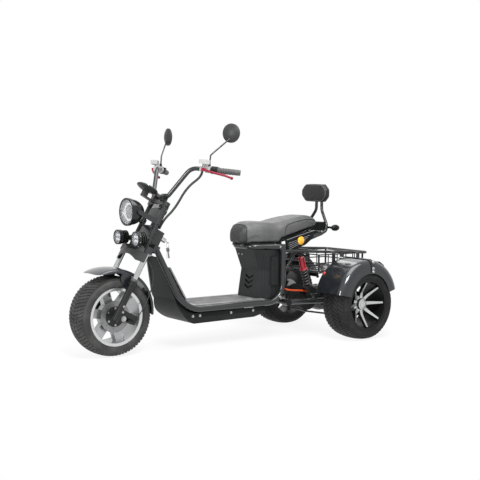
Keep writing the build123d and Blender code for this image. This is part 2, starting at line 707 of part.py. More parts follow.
def hoses():
    """Brake hose from the caliper to the lower yoke, and the wiring loom from the left end of the bar to the neck."""
    # Fork-frame X, Y, Z of the hose's corners
    route = [
        (-96, CALIPER_OUT + 0.8, 30),
        (-97, CALIPER_OUT + 18, 32),
        (-106, CALIPER_OUT + 20, 120),
        (-104, CALIPER_OUT + 16, 220),
        (-80, CALIPER_OUT + 14, 300),
        (-24, CALIPER_OUT + 6, 350),
        (8, CALIPER_OUT - 8, LOWER_YOKE_Z - 3),
    ]
    keep("brake_hose", tube([fork_point(*p) for p in route], HOSE_D / 2, [8, 60, 80, 60, 30]))
    bend = Vector(*BAR_BEND)
    # Steps from the bar's bend to the loom's corners
    steps = [(-44, 45, -19), (-44, 45, -46), (24, -6, -110), (71, -56, -233), (124, -98, -300)]
    loom = [bend + Vector(*step) for step in steps] + [fork_point(STEER_X - 2, 56, 560)]
    keep("wiring_loom", tube(loom, LOOM_D / 2, [16, 60, 80, 24]))


# Frame body


PIVOT_Z = 300
CROSS_X = LOOP_X - 21
HINGE_X = SEAT_RAIL_FRONT + TUBE_R + 14
HINGE_Z = SEAT_RAIL_Z + TUBE_R - 5
SUB_D = 24
SUB_Y = 104
SUB_BACK = (40, 62, 652)
SUB_KNEE_X = LOOP_X - 90
SUB_KNEE_Z = SEAT_RAIL_Z - 6
SHOCK_TOP = (262, 534)
SHOCK_LOW = (178, 262)
SHOCK_PIN = 8
SHOCK_Y = 112
# Bend radii of the main tube: slope foot, deck end, under the seat, seat nose
LOOP_BENDS = (150, 110, 32, 60)


def frame_loop(radius):
    """The bent main tube: neck, slope, deck, loop behind the box and rail under the seat, then back on the other side."""
    neck = fork_point(STEER_X - NECK_BACK, NECK_Y, LOWER_YOKE_Z + NECK_RISE)
    half = [
        (neck.X, NECK_Y, neck.Z),
        (SLOPE_FOOT_X, RAIL_Y, DECK_Z),
        (LOOP_X, RAIL_Y, DECK_Z),
        (LOOP_X, RAIL_Y, SEAT_RAIL_Z),
        (SEAT_RAIL_FRONT, SEAT_RAIL_NOSE_Y, SEAT_RAIL_Z),
    ]
    points = half + [(x, -y, z) for x, y, z in reversed(half)]
    return tube(points, radius, [*LOOP_BENDS, *reversed(LOOP_BENDS)])


def main_frame():
    """One bent tube each side from the neck round the deck, up behind the box and forward under the seat, welded to the head tube."""
    loop = frame_loop(TUBE_R)

    head_low = LOWER_YOKE_Z + LOWER_YOKE_T + SWING
    head_high = UPPER_YOKE_Z - SWING
    head = Pos(STEER_X, 0, head_low) * Cylinder(HEAD_D / 2, head_high - head_low, align=(Align.CENTER, Align.CENTER, Align.MIN))
    head += Pos(STEER_X, 0, head_low) * Cylinder(HEAD_D / 2 + 4, 18, align=(Align.CENTER, Align.CENTER, Align.MIN))
    head += Pos(STEER_X, 0, head_high - 18) * Cylinder(HEAD_D / 2 + 4, 18, align=(Align.CENTER, Align.CENTER, Align.MIN))
    gusset = block((STEER_X - 66, -24, head_low + 4), (STEER_X, 24, head_low + GUSSET_H))
    gusset += block((STEER_X - 62, -NECK_Y - 14, head_low + 2), (STEER_X - 24, NECK_Y + 14, head_low + 44))
    bore = Pos(STEER_X, 0, head_low - 50) * Cylinder(STEM_D / 2 + RUN, 600, align=(Align.CENTER, Align.CENTER, Align.MIN))
    neck_weld = FORK * (head + gusset - bore)

    cross = []
    for x in (SLOPE_FOOT_X - 140, (SLOPE_FOOT_X + LOOP_X) / 2, LOOP_X + 130):
        cross.append(rod((x, -RAIL_Y, DECK_Z), (x, RAIL_Y, DECK_Z), 14))
    for z in (SEAT_RAIL_Z - 60, PIVOT_Z):
        cross.append(rod((CROSS_X, -RAIL_Y, z), (CROSS_X, RAIL_Y, z), 14))
    frame = loop + neck_weld
    for bar in cross:
        frame += bar
    frame += rear_subframe()
    for side in SIDES:
        frame += rod((HINGE_X, side * 30, HINGE_Z), (HINGE_X, side * 50, HINGE_Z), KNUCKLE_R)
        frame += block((SEAT_RAIL_FRONT + 6, side * 40 - 10, HINGE_Z - 12), (HINGE_X, side * 40 + 10, HINGE_Z))
    frame += rod((HINGE_X, -50, HINGE_Z), (HINGE_X, 50, HINGE_Z), HINGE_PIN_D / 2)
    keep("main_frame", frame)
    lock_z = LOWER_YOKE_Z + 147
    keep("ignition_lock", FORK * rod((STEER_X - 66 - FIT, 0, lock_z), (STEER_X - 104, 0, lock_z), 14))


def rear_subframe():
    """Rails behind the loop that carry the pillion seat, the shocks' tops and the tail."""
    parts = None
    for side in SIDES:
        rail = tube(
            [(CROSS_X, side * SUB_Y, SEAT_RAIL_Z - 60), (SUB_KNEE_X, side * SUB_Y, SUB_KNEE_Z), (SUB_BACK[0], side * SUB_BACK[1], SUB_BACK[2])],
            SUB_D / 2,
            60,
        )
        brace = rod((LOOP_X - 12, side * (RAIL_Y - 10), 420), (LOOP_X - 200, side * (SUB_Y - 6), SEAT_RAIL_Z + 16), 9)
        parts = rail if parts is None else parts + rail
        parts += brace
    parts += rod((SUB_BACK[0] + 2, -SUB_BACK[1], SUB_BACK[2]), (SUB_BACK[0] + 2, SUB_BACK[1], SUB_BACK[2]), 10)
    x, z = SHOCK_TOP
    parts += rod((x, -SHOCK_Y - 16, z), (x, SHOCK_Y + 16, z), SHOCK_PIN)
    for side in SIDES:
        y, rail = sub_rail(x)
        parts += rod((x, side * (y - 6), z), (x, side * (y - 6), rail), 10)
    return parts


def sub_rail(x):
    """Y and Z of the left subframe rail behind its knee."""
    along = (SUB_KNEE_X - x) / (SUB_KNEE_X - SUB_BACK[0])
    return SUB_Y + along * (SUB_BACK[1] - SUB_Y), SUB_KNEE_Z + along * (SUB_BACK[2] - SUB_KNEE_Z)


SPRING_LOW = 62
SPRING_L = 108
SPRING_TURNS = 6
CAN_R = 20
CAN_L = 88


def shocks():
    """Coil-over shocks from the trailing arms to the subframe, each with a red damper can above its spring."""
    low = Vector(SHOCK_LOW[0], SHOCK_Y, SHOCK_LOW[1])
    high = Vector(SHOCK_TOP[0], SHOCK_Y, SHOCK_TOP[1])
    length = (high - low).length
    seat = Plane(low, x_dir=(0, 1, 0), z_dir=high - low)
    eye_r = SHOCK_PIN + 8
    core_r = 11
    spring_high = SPRING_LOW + SPRING_L
    body = [(0, 10), (9, 10), (9, 40), (20, 44), (20, 54), (28, SPRING_LOW - 6), (28, SPRING_LOW), (core_r, SPRING_LOW)]
    body += [(core_r, length - 20), (9, length - 10), (0, length - 10)]
    core = revolve(Plane.XZ * make_face(Polyline(*body, close=True)), Axis.Z)
    for z in (0, length):
        core += Pos(0, 0, z) * Rot(0, 90, 0) * Cylinder(eye_r, 24)
    for z in (0, length):
        core -= Pos(0, 0, z) * Rot(0, 90, 0) * Cylinder(SHOCK_PIN + FIT, 80)
    keep("shock_bodies", both(seat * core))
    pitch = (SPRING_L - 2 * FIT) / SPRING_TURNS
    coil = [(core_r + 3, SPRING_LOW + FIT)]
    for i in range(SPRING_TURNS):
        start = SPRING_LOW + FIT + i * pitch
        coil += [(20, start), (25, start + pitch * 0.3), (25, start + pitch * 0.7)]
    coil += [(20, spring_high - FIT), (core_r + 3, spring_high - FIT)]
    keep("shock_springs", both(seat * revolve(Plane.XZ * make_face(Polyline(*coil, close=True)), Axis.Z)))
    bore = core_r + FIT
    end = spring_high + CAN_L
    can = [(bore, spring_high), (26, spring_high), (26, spring_high + 5), (CAN_R, spring_high + 9)]
    can += [(CAN_R, end - 6), (CAN_R - 5, end), (bore, end)]
    keep("shock_cans", both(seat * revolve(Plane.XZ * make_face(Polyline(*can, close=True)), Axis.Z)))


BELLY_TOE = 570
BELLY_TOP_Z = 545
BELLY_KNEE_Z = 300


def belly_outline(inset):
    """The belly pan's side view: from the neck down the slope, round the heel and back under the deck."""
    foot = SLOPE_FOOT_X
    top = DECK_Z - TUBE_R - 4
    high = BELLY_TOP_Z
    front = foot + 119 - inset
    return Plane.XZ * make_face(
        [
            Line((front, high), (foot + 38 - inset, BELLY_KNEE_Z)),
            ThreePointArc((foot + 38 - inset, BELLY_KNEE_Z), (foot - inset * 0.8, 205 + inset * 0.6), (foot - 86, BELLY_Z + inset)),
            Line((foot - 86, BELLY_Z + inset), (BELLY_TOE + 70, BELLY_Z + 5 + inset)),
            Line((BELLY_TOE + 70, BELLY_Z + 5 + inset), (BELLY_TOE, BELLY_Z + 26 + inset)),
            Line((BELLY_TOE, BELLY_Z + 26 + inset), (BELLY_TOE, top)),
            Line((BELLY_TOE, top), (foot - 72, top)),
            ThreePointArc((foot - 72, top), (foot - 18, 246), (foot + 12, BELLY_KNEE_Z)),
            Line((foot + 12, BELLY_KNEE_Z), (foot + 93, high)),
            Line((foot + 93, high), (front, high)),
        ]
    )


def belly_front(inset):
    """The belly pan seen from the front: chamfered tray below, narrowing between the tubes above."""
    wide = BELLY_Y - inset
    half = [
        (wide - 24, BELLY_Z + inset),
        (wide, BELLY_Z + 40),
        (wide, 216),
        (116 - inset, BELLY_KNEE_Z),
        (62 - inset, 480),
        (42 - inset, BELLY_TOP_Z + 10),
    ]
    return make_face(Plane.YZ * Polyline(*half, *[(-y, z) for y, z in reversed(half)], close=True))


def belly_pan():
    """Moulded tray under the deck that climbs in front of the leg shield."""
    wide = BELLY_Y
    ahead = WHEELBASE
    shell = extrude(belly_outline(0), 2 * wide, both=True) & extrude(belly_front(0), ahead, dir=(1, 0, 0))
    hollow = extrude(belly_outline(WALL), 2 * wide, both=True) & extrude(belly_front(WALL), ahead, dir=(1, 0, 0))
    top = DECK_Z - TUBE_R - 4
    mouth = (BELLY_TOE + WALL, SLOPE_FOOT_X - 108)
    open_top = block((mouth[0], -wide + WALL, BELLY_Z + 34), (mouth[1], wide - WALL, top + 20))
    keep("belly_pan", shell - hollow - open_top - frame_loop(TUBE_R + 1))


DECK_RIBS = 7
DECK_RIB_PITCH = 34
BOARD_T = 8
BOARD_TOP_Z = 480


def footboard():
    """Ribbed foot tray between the rails, curled up the slope to the neck."""
    y = RAIL_Y - TUBE_R - FIT
    low = DECK_Z + 14 + FIT
    t = BOARD_T
    foot = SLOPE_FOOT_X
    back = BOX_BOTTOM_FRONT - 30
    outline = Plane.XZ * make_face(
        [
            Line((back, low), (foot - 92, low)),
            ThreePointArc((foot - 92, low), (foot - 46, 268), (foot - 20, 304)),
            Line((foot - 20, 304), (foot + 54, BOARD_TOP_Z)),
            Line((foot + 54, BOARD_TOP_Z), (foot + 46, BOARD_TOP_Z + 4)),
            Line((foot + 46, BOARD_TOP_Z + 4), (foot - 28, 308)),
            ThreePointArc((foot - 28, 308), (foot - 51, 274), (foot - 94, low + t)),
            Line((foot - 94, low + t), (back, low + t)),
            Line((back, low + t), (back, low)),
        ]
    )
    plate = extrude(outline, y, both=True)
    half = [(y, 200), (y, 268), (74, BOARD_TOP_Z + 10)]
    taper = make_face(Plane.YZ * Polyline(*half, *[(-a, z) for a, z in reversed(half)], close=True))
    plate = plate & extrude(taper, WHEELBASE, dir=(1, 0, 0))
    for i in range(DECK_RIBS):
        rib_y = DECK_RIB_PITCH * (i - (DECK_RIBS - 1) / 2)
        plate += block((back + 60, rib_y - 5, low + t), (foot - 118, rib_y + 5, low + t + 3))
    keep("footboard", plate)


BOX_BOTTOM_FRONT = 600
BOX_WAIST_X = 574
BOX_WAIST_Z = 436
BOX_TOP_FRONT = 626
BOX_LOW = DECK_Z + 14 + FIT + 8 + FIT
BOX_TOP = SEAT_RAIL_Z - TUBE_R - FIT


# Raised pads on each flank: X and Z of two corners, and how far they stand proud
BOX_PADS = [(462, 352, 472, 500, 4), (476, 346, 526, 520, 16)]


def box_outline(inset):
    return [
        (BOX_BACK_X + inset, BOX_LOW + inset),
        (BOX_BOTTOM_FRONT - inset, BOX_LOW + inset),
        (BOX_WAIST_X - inset, BOX_WAIST_Z),
        (BOX_TOP_FRONT - inset, BOX_TOP + (50 if inset else 0)),
        (BOX_BACK_X + inset, BOX_TOP + (50 if inset else 0)),
    ]


def battery_box():
    """Open-topped moulded case with canted front corners, chevron vents in front and a grip pad on each flank."""
    shell = side_plate(box_outline(0), -BOX_Y, BOX_Y)
    canted = 70
    for side in SIDES:
        for (xa, za), (xb, zb) in (
            ((BOX_BOTTOM_FRONT, BOX_LOW - 5), (BOX_WAIST_X, BOX_WAIST_Z)),
            ((BOX_WAIST_X, BOX_WAIST_Z), (BOX_TOP_FRONT, BOX_TOP + 5)),
        ):
            low = Plane((0, 0, za)) * make_face(Polyline((xa - canted, side * BOX_Y), (xa + 40, side * BOX_Y), (xa + 40, side * BOX_FRONT_Y), (xa, side * BOX_FRONT_Y), close=True))
            high = Plane((0, 0, zb)) * make_face(Polyline((xb - canted, side * BOX_Y), (xb + 40, side * BOX_Y), (xb + 40, side * BOX_FRONT_Y), (xb, side * BOX_FRONT_Y), close=True))
            shell -= Pos(0, side * 0.01, 0) * loft([low, high], ruled=True)
    cavity = side_plate(box_outline(WALL), -BOX_FRONT_Y + WALL, BOX_FRONT_Y - WALL)
    shell -= cavity
    for i in range(3):
        z = 392 - 30 * i
        for side in SIDES:
            vent = Polyline((0, 0), (side * 40, 20), (side * 40, 34), (0, 14), close=True)
            shell -= Plane((BOX_BOTTOM_FRONT - 50, 0, z - 20), x_dir=(0, 1, 0), z_dir=(1, 0, 0)) * extrude(make_face(vent), 80, dir=(0, 0, 1))
    for x_low, z_low, x_high, z_high, proud in BOX_PADS:
        pad = block((x_low, BOX_Y - 6, z_low), (x_high, BOX_Y + proud, z_high))
        shell += pad
        shell += mirrored(pad)
    keep("battery_box", shell)
    half = BOX_FRONT_Y - WALL - 6
    keep("battery", block((BOX_BACK_X + WALL + 8, -half, BOX_LOW + WALL + FIT), (BOX_WAIST_X - WALL - 8, half, BOX_TOP - 30)))


TAIL_Y = 136
TAIL_T = 14


def tail_panels():
    """Slotted side panels under the pillion seat, each with a round amber reflector."""
    outline = [(410, 620), (398, 556), (338, 562), (250, 586), (184, 630), (178, 676)]
    panel = side_plate(outline, TAIL_Y, TAIL_Y + TAIL_T)
    for i in range(4):
        slot = [(396 - 3 * i, 606 - 12 * i), (212 + 18 * i, 655 - 14 * i), (212 + 18 * i, 649 - 14 * i), (396 - 3 * i, 600 - 12 * i)]
        panel -= side_plate(slot, TAIL_Y + TAIL_T - 5, TAIL_Y + TAIL_T + 5)
    lamp_x, lamp_z = 288, 614
    panel -= Pos(lamp_x, TAIL_Y + TAIL_T, lamp_z) * Rot(90, 0, 0) * Cylinder(29, 8)
    for x in (336, 226):
        rail_y, rail_z = sub_rail(x)
        panel += rod((x, rail_y + SUB_D / 2 + 0.9, rail_z), (x, TAIL_Y + 1, rail_z), 6)
    keep("tail_panels", both(panel))
    dome = make_face([Line((0, 0), (26, 0)), Line((26, 0), (26, 6)), cap(26, 6, 10), Line((0, 16), (0, 0))])
    dome = Plane((lamp_x, TAIL_Y + TAIL_T - 4 + FIT, lamp_z), x_dir=(1, 0, 0), z_dir=(0, 1, 0)) * revolve(Plane.XZ * dome, Axis.Z)
    keep("side_reflectors", both(dome))


SIGNAL_Y = 146


def tail():
    """Tail lamp and the two stalked signals on the subframe's end."""
    x, _, z = SUB_BACK
    lamp = block((x - 52, -64, z + SUB_D / 2 + FIT), (x + 20, 64, z + 70))
    lamp = lamp - block((x - 60, -52, z + 30), (x - 44, 52, z + 60))
    keep("tail_lamp", lamp)
    stalk_x = x - 44
    stalk = rod((stalk_x, 64 + FIT, z + 36), (stalk_x, SIGNAL_Y, z + 36), 7)
    bulb = make_face([Line((0, -28), (8, -28)), ThreePointArc((8, -28), (20, -4), (15, 26)), Line((15, 26), (0, 34)), Line((0, 34), (0, -28))])
    bulb = Plane((stalk_x, SIGNAL_Y, z + 36), x_dir=(0, 1, 0), z_dir=(-1, 0, 0)) * revolve(Plane.XZ * bulb, Axis.Z)
    keep("rear_signals", both(stalk + bulb))


PAD_X = (14, 66)
PAD_Z = (852, 972)
PAD_Y = 122
REST_TUBE_D = 20


def backrest():
    """Padded rest on two bent tubes that run forward under the pillion seat."""
    r = REST_TUBE_D / 2
    pad_back = PAD_X[0] - r - FIT
    tubes = []
    for side in SIDES:
        foot_x, foot_y, foot_z = SUB_BACK
        route = [
            (pad_back, side * 24, PAD_Z[0] + 70),
            (pad_back, side * 26, PAD_Z[0] - 52),
            (foot_x - 22, side * (foot_y + 30), foot_z + 54),
            (foot_x - 18, side * (foot_y + 30), foot_z + 16),
        ]
        for x in (60, 200):
            y, z = sub_rail(x)
            route.append((x, side * (y + SUB_D / 2 + r + 0.6), z))
        tubes.append(tube(route, r, [60, 40, 24, 40]))
    keep("backrest_tubes", tubes)
    outline = make_face(Plane.YZ * Polyline((-PAD_Y + 34, PAD_Z[0]), (PAD_Y - 34, PAD_Z[0]), (PAD_Y, PAD_Z[0] + 38), (PAD_Y, PAD_Z[1] - 38), (PAD_Y - 34, PAD_Z[1]), (-PAD_Y + 34, PAD_Z[1]), (-PAD_Y, PAD_Z[1] - 38), (-PAD_Y, PAD_Z[0] + 38), close=True))
    pad = Pos(PAD_X[0], 0, 0) * extrude(outline, PAD_X[1] - PAD_X[0], dir=(1, 0, 0))
    pad = fillet(pad.edges().filter_by(Axis.X), 16)
    pad = fillet(pad.faces().sort_by(Axis.X)[-1].edges(), 14)
    keep("backrest_pad", pad)


def rail_z(x):
    """Height of the rack's sloping rails."""
    return RACK_REAR_Z + (RACK_FRONT_Z - RACK_REAR_Z) * (x - RACK_BACK) / (LOOP_X - RACK_BACK)


BASKET_BACK = RACK_BACK + 34
BASKET_Y = RACK_Y - RACK_TUBE_D / 2 - WIRE_D / 2 - FIT
BASKET_TOP = 12


def lattice(corner, across, up, columns, rows):
    """One flat wire panel from a corner: so many columns along across and rows along up."""
    w = WIRE_D / 2
    thin = w - 0.6
    corner = Vector(*corner)
    across = Vector(*across)
    up = Vector(*up)
    wires = []
    for i in range(columns):
        start = corner + across * (i / (columns - 1))
        wires.append(rod(start, start + up, thin))
    for i in range(rows):
        start = corner + up * (i / (rows - 1))
        wires.append(rod(start, start + across, w))
    return wires[0].fuse(*wires[1:])


def rack():
    """Tube rails between the rear wheels, with a basket of flat wire panels hung inside them."""
    r = RACK_TUBE_D / 2
    rear = RACK_BACK
    front = LOOP_X - TUBE_R - 0.8
    half = [(front, RAIL_Y, rail_z(front)), (BASKET_FRONT + 20, RACK_Y, rail_z(BASKET_FRONT + 20)), (rear, RACK_Y, RACK_REAR_Z)]
    rails = tube(half + [(x, -y, z) for x, y, z in reversed(half)], r, [120, 40, 40, 120])
    cross = BASKET_FRONT + WIRE_D + FIT
    keep("luggage_rack", rails.fuse(rod((cross + r, -RACK_Y, rail_z(cross)), (cross + r, RACK_Y, rail_z(cross)), r)))

    gap = WIRE_D + FIT
    long = BASKET_FRONT - BASKET_BACK
    high = rail_z(BASKET_BACK) - BASKET_TOP - BASKET_Z
    panels = [lattice((BASKET_BACK, -BASKET_Y, BASKET_Z), (long, 0, 0), (0, 2 * BASKET_Y, 0), 6, 5)]
    for side in SIDES:
        panels.append(lattice((BASKET_BACK, side * BASKET_Y, BASKET_Z + gap), (long, 0, 0), (0, 0, high), 6, 3))
    for x in (BASKET_BACK, BASKET_FRONT):
        inner = BASKET_Y - gap
        panels.append(lattice((x, -inner, BASKET_Z + gap), (0, 2 * inner, 0), (0, 0, high), 5, 3))
    keep("basket", panels)


STRAP_X = (-118, 96)
STRAP_W = 26
STRAP_T = 5
HOOP_X = -10
HOOP_DROP = 78


def rear_fenders():
    """Broad painted mudguards with a rolled outer flank, and the straps that hold them."""
    r = FENDER_R
    lip = r - FENDER_FLANK
    t = FENDER_T
    section = make_face(
        [
            Line((r - 26, FENDER_IN), (r - 10, FENDER_IN)),
            ThreePointArc((r - 10, FENDER_IN), (r - 3, FENDER_IN + 3), (r, FENDER_IN + 12)),
            Line((r, FENDER_IN + 12), (r, FENDER_OUT - 52)),
            ThreePointArc((r, FENDER_OUT - 52), (r - 12, FENDER_OUT - 14), (r - 44, FENDER_OUT)),
            Line((r - 44, FENDER_OUT), (lip, FENDER_OUT)),
            Line((lip, FENDER_OUT), (lip, FENDER_OUT - t)),
            Line((lip, FENDER_OUT - t), (r - 45, FENDER_OUT - t)),
            ThreePointArc((r - 45, FENDER_OUT - t), (r - 15, FENDER_OUT - 17), (r - t, FENDER_OUT - 53)),
            Line((r - t, FENDER_OUT - 53), (r - t, FENDER_IN + 13)),
            ThreePointArc((r - t, FENDER_IN + 13), (r - 7, FENDER_IN + 6), (r - 12, FENDER_IN + t)),
            Line((r - 12, FENDER_IN + t), (r - 26, FENDER_IN + t)),
            Line((r - 26, FENDER_IN + t), (r - 26, FENDER_IN)),
        ]
    )
    left = Pos(0, 0, REAR_R + FENDER_RISE) * Rot(0, -FENDER_START, 0) * revolve(section, Axis.Y, -FENDER_SPAN)
    keep("rear_fender_left", left)
    keep("rear_fender_right", mirrored(left))

    straps = []
    wall_y = FENDER_IN - FIT
    ring_y = RACK_Y + RACK_TUBE_D / 2 + FIT
    for x in STRAP_X:
        high = REAR_R + FENDER_RISE + sqrt(r**2 - x**2)
        drop = rail_z(x)
        strap = block((x - STRAP_W / 2, ring_y, drop - 3), (x + STRAP_W / 2, wall_y, drop + 3))
        strap += block((x - STRAP_W / 2, wall_y - STRAP_T, high - 48), (x + STRAP_W / 2, wall_y, drop + 3))
        straps.append(strap)
    crown = REAR_R + FENDER_RISE + r + FIT
    flank = FENDER_OUT + FIT
    t = STRAP_T
    hoop = Plane.YZ * make_face(
        [
            Line((ring_y, crown), (FENDER_OUT - 52, crown)),
            ThreePointArc((FENDER_OUT - 52, crown), (FENDER_OUT - 13.6, crown - 12), (flank, crown - 44)),
            Line((flank, crown - 44), (flank, crown - HOOP_DROP)),
            Line((flank, crown - HOOP_DROP), (flank + t, crown - HOOP_DROP)),
            Line((flank + t, crown - HOOP_DROP), (flank + t, crown - 43)),
            ThreePointArc((flank + t, crown - 43), (FENDER_OUT - 10, crown - 8.4), (FENDER_OUT - 51, crown + t)),
            Line((FENDER_OUT - 51, crown + t), (ring_y, crown + t)),
            Line((ring_y, crown + t), (ring_y, crown)),
        ]
    )
    hoop = Pos(HOOP_X - STRAP_W / 2, 0, 0) * extrude(hoop, STRAP_W, dir=(1, 0, 0))
    post_z = rail_z(HOOP_X)
    hoop += block((HOOP_X - STRAP_W / 2, ring_y, crown), (HOOP_X + STRAP_W / 2, ring_y + t, post_z + 4))
    straps.append(hoop)
    keep("fender_straps", [s for strap in straps for s in both(strap)])


MOTOR_X = 148
MOTOR_Z = REAR_R + 12
MOTOR_FIN = 5
MOTOR_HALF = 74
SWING_D = 34
SWING_Y = (138, REAR_HUB_Y - 176)


def rear_axle():
    """Trailing arms, the axle tube with its gear case, the motor and the brake calipers."""
    half_rim = REAR_RIM_W / 2
    hub_back = REAR_HUB_Y - half_rim + 30
    end = hub_back - 4
    housing = rod((0, -end, REAR_R), (0, end, REAR_R), AXLE_TUBE_D / 2)
    case_r = GEAR_CASE_D / 2
    housing += Pos(0, 0, REAR_R) * spun([(0, -70), (52, -70), (case_r - 8, -52), (case_r, -24), (case_r, 24), (case_r - 8, 52), (52, 70), (0, 70)])
    for side in SIDES:
        spindle_end = REAR_HUB_Y + half_rim - REAR_DISH - 41
        housing += rod((0, side * (end - 4), REAR_R), (0, side * spindle_end, REAR_R), AXLE_D / 2)
        flange = rod((0, side * (end - 26), REAR_R), (0, side * (end - 14), REAR_R), 44)
        housing += flange
        disc_y = hub_back + 2
        jaw = block((-REAR_DISC_D / 2 - 14, disc_y - 16, REAR_R - 28), (-REAR_DISC_D / 2 + 26, disc_y + DISC_T + 14, REAR_R + 28))
        jaw -= block((-REAR_DISC_D / 2 - 40, disc_y - 2.5, REAR_R - 60), (-REAR_DISC_D / 2 + 60, disc_y + DISC_T + 2.5, REAR_R + 60))
        jaw -= Pos(0, disc_y, REAR_R) * Rot(90, 0, 0) * Cylinder(44, 200)
        bridge = block((-REAR_DISC_D / 2 - 14, disc_y - 16, REAR_R - 28), (-REAR_DISC_D / 2 - 5, disc_y + DISC_T + 14, REAR_R + 28))
        link = block((-REAR_DISC_D / 2 + 4, end - 26, REAR_R - 14), (-20, end - 14, REAR_R + 14))
        link += block((-REAR_DISC_D / 2 + 4, end - 26, REAR_R - 14), (-REAR_DISC_D / 2 + 26, disc_y - 2.5, REAR_R + 14))
        jaw += bridge + link
        housing += jaw if side > 0 else mirrored(jaw)
    keep("rear_axle", housing)

    motor = rod((MOTOR_X, -MOTOR_HALF, MOTOR_Z), (MOTOR_X, MOTOR_HALF, MOTOR_Z), MOTOR_D / 2)
    for i in range(9):
        y = -64 + 16 * i
        motor += rod((MOTOR_X, y - 3, MOTOR_Z), (MOTOR_X, y + 3, MOTOR_Z), MOTOR_D / 2 + MOTOR_FIN)
    motor -= Pos(0, 0, REAR_R) * Rot(90, 0, 0) * Cylinder(GEAR_CASE_D / 2 + FIT, 150)
    motor -= Pos(0, 0, REAR_R) * Rot(90, 0, 0) * Cylinder(AXLE_TUBE_D / 2 + FIT, 600)
    keep("motor", motor)

    arms = None
    for side in SIDES:
        y_front, y_rear = SWING_Y
        sleeve = rod((0, side * (y_rear - 24), REAR_R), (0, side * (y_rear + 24), REAR_R), AXLE_TUBE_D / 2 + 10)
        arm = rod((LOOP_X - TUBE_R - 30, side * y_front, PIVOT_Z - 70), (20, side * y_rear, REAR_R + 4), SWING_D / 2)
        pivot = rod((LOOP_X - TUBE_R - 34, side * (y_front - 26), PIVOT_Z - 70), (LOOP_X - TUBE_R - 34, side * (y_front + 26), PIVOT_Z - 70), 22)
        shock_x, shock_z = SHOCK_LOW
        arm_y = y_rear + (y_front - y_rear) * shock_x / (LOOP_X - TUBE_R - 30)
        arm += rod((shock_x, side * (SHOCK_Y - 16), shock_z), (shock_x, side * (arm_y + 4), shock_z), SHOCK_PIN)
        arm += block((shock_x - 14, side * (arm_y - 4) - 12, REAR_R), (shock_x + 14, side * (arm_y - 4) + 12, shock_z + 12))
        arms = arm + sleeve + pivot if arms is None else arms + arm + sleeve + pivot
    arms += rod((LOOP_X - TUBE_R - 34, -SWING_Y[0], PIVOT_Z - 70), (LOOP_X - TUBE_R - 34, SWING_Y[0], PIVOT_Z - 70), 16)
    hoop_z = 138
    arms += tube([(70, SWING_Y[1] - 14, REAR_R), (84, SWING_Y[1] - 20, hoop_z), (110, 0, hoop_z - 4), (84, -SWING_Y[1] + 20, hoop_z), (70, -SWING_Y[1] + 14, REAR_R)], 6, [30, 60, 30])
    arms -= rod((0, -400, REAR_R), (0, 400, REAR_R), AXLE_TUBE_D / 2 + FIT)
    keep("swingarm", arms)


CABLE_D = 11


def electrics():
    """Motor controller on the box's back and the sheathed phase cables down to the motor."""
    back = BOX_BACK_X - FIT
    front = back - 88
    body = block((front, -72, 350), (back, 72, 480))
    for i in range(8):
        y = -63 + 18 * i
        body += block((front - 8, y - 3, 352), (front + 1, y + 3, 478))
    keep("controller", body)
    end_y = MOTOR_HALF + FIT
    run_y = MOTOR_HALF + CABLE_D / 2 + 2
    low = 350 - FIT
    route = [
        (back - 50, 60, low),
        (back - 50, 60, low - 34),
        (back - 110, run_y, 294),
        (MOTOR_X + 30, run_y, 284),
        (MOTOR_X + 14, run_y, 268),
        (MOTOR_X + 14, run_y - 2, 250),
    ]
    bundle = tube(route, CABLE_D / 2, [14, 30, 12, 8])
    bundle += rod((MOTOR_X + 14, end_y, 250), (MOTOR_X + 14, run_y + CABLE_D / 2, 250), CABLE_D / 2 + 3)
    keep("phase_cables", bundle)


PAN_T = 6
KNEE_X = 440
KNEE_LOW = SEAT_Z + 30.7
PILLION_LOW = SEAT_Z + 94.7


def pillion_low(x):
    """Height of the pillion cushion's sloping underside."""
    return KNEE_LOW + (PILLION_LOW - KNEE_LOW) * (KNEE_X - x) / (KNEE_X - SEAT_BACK - 36)


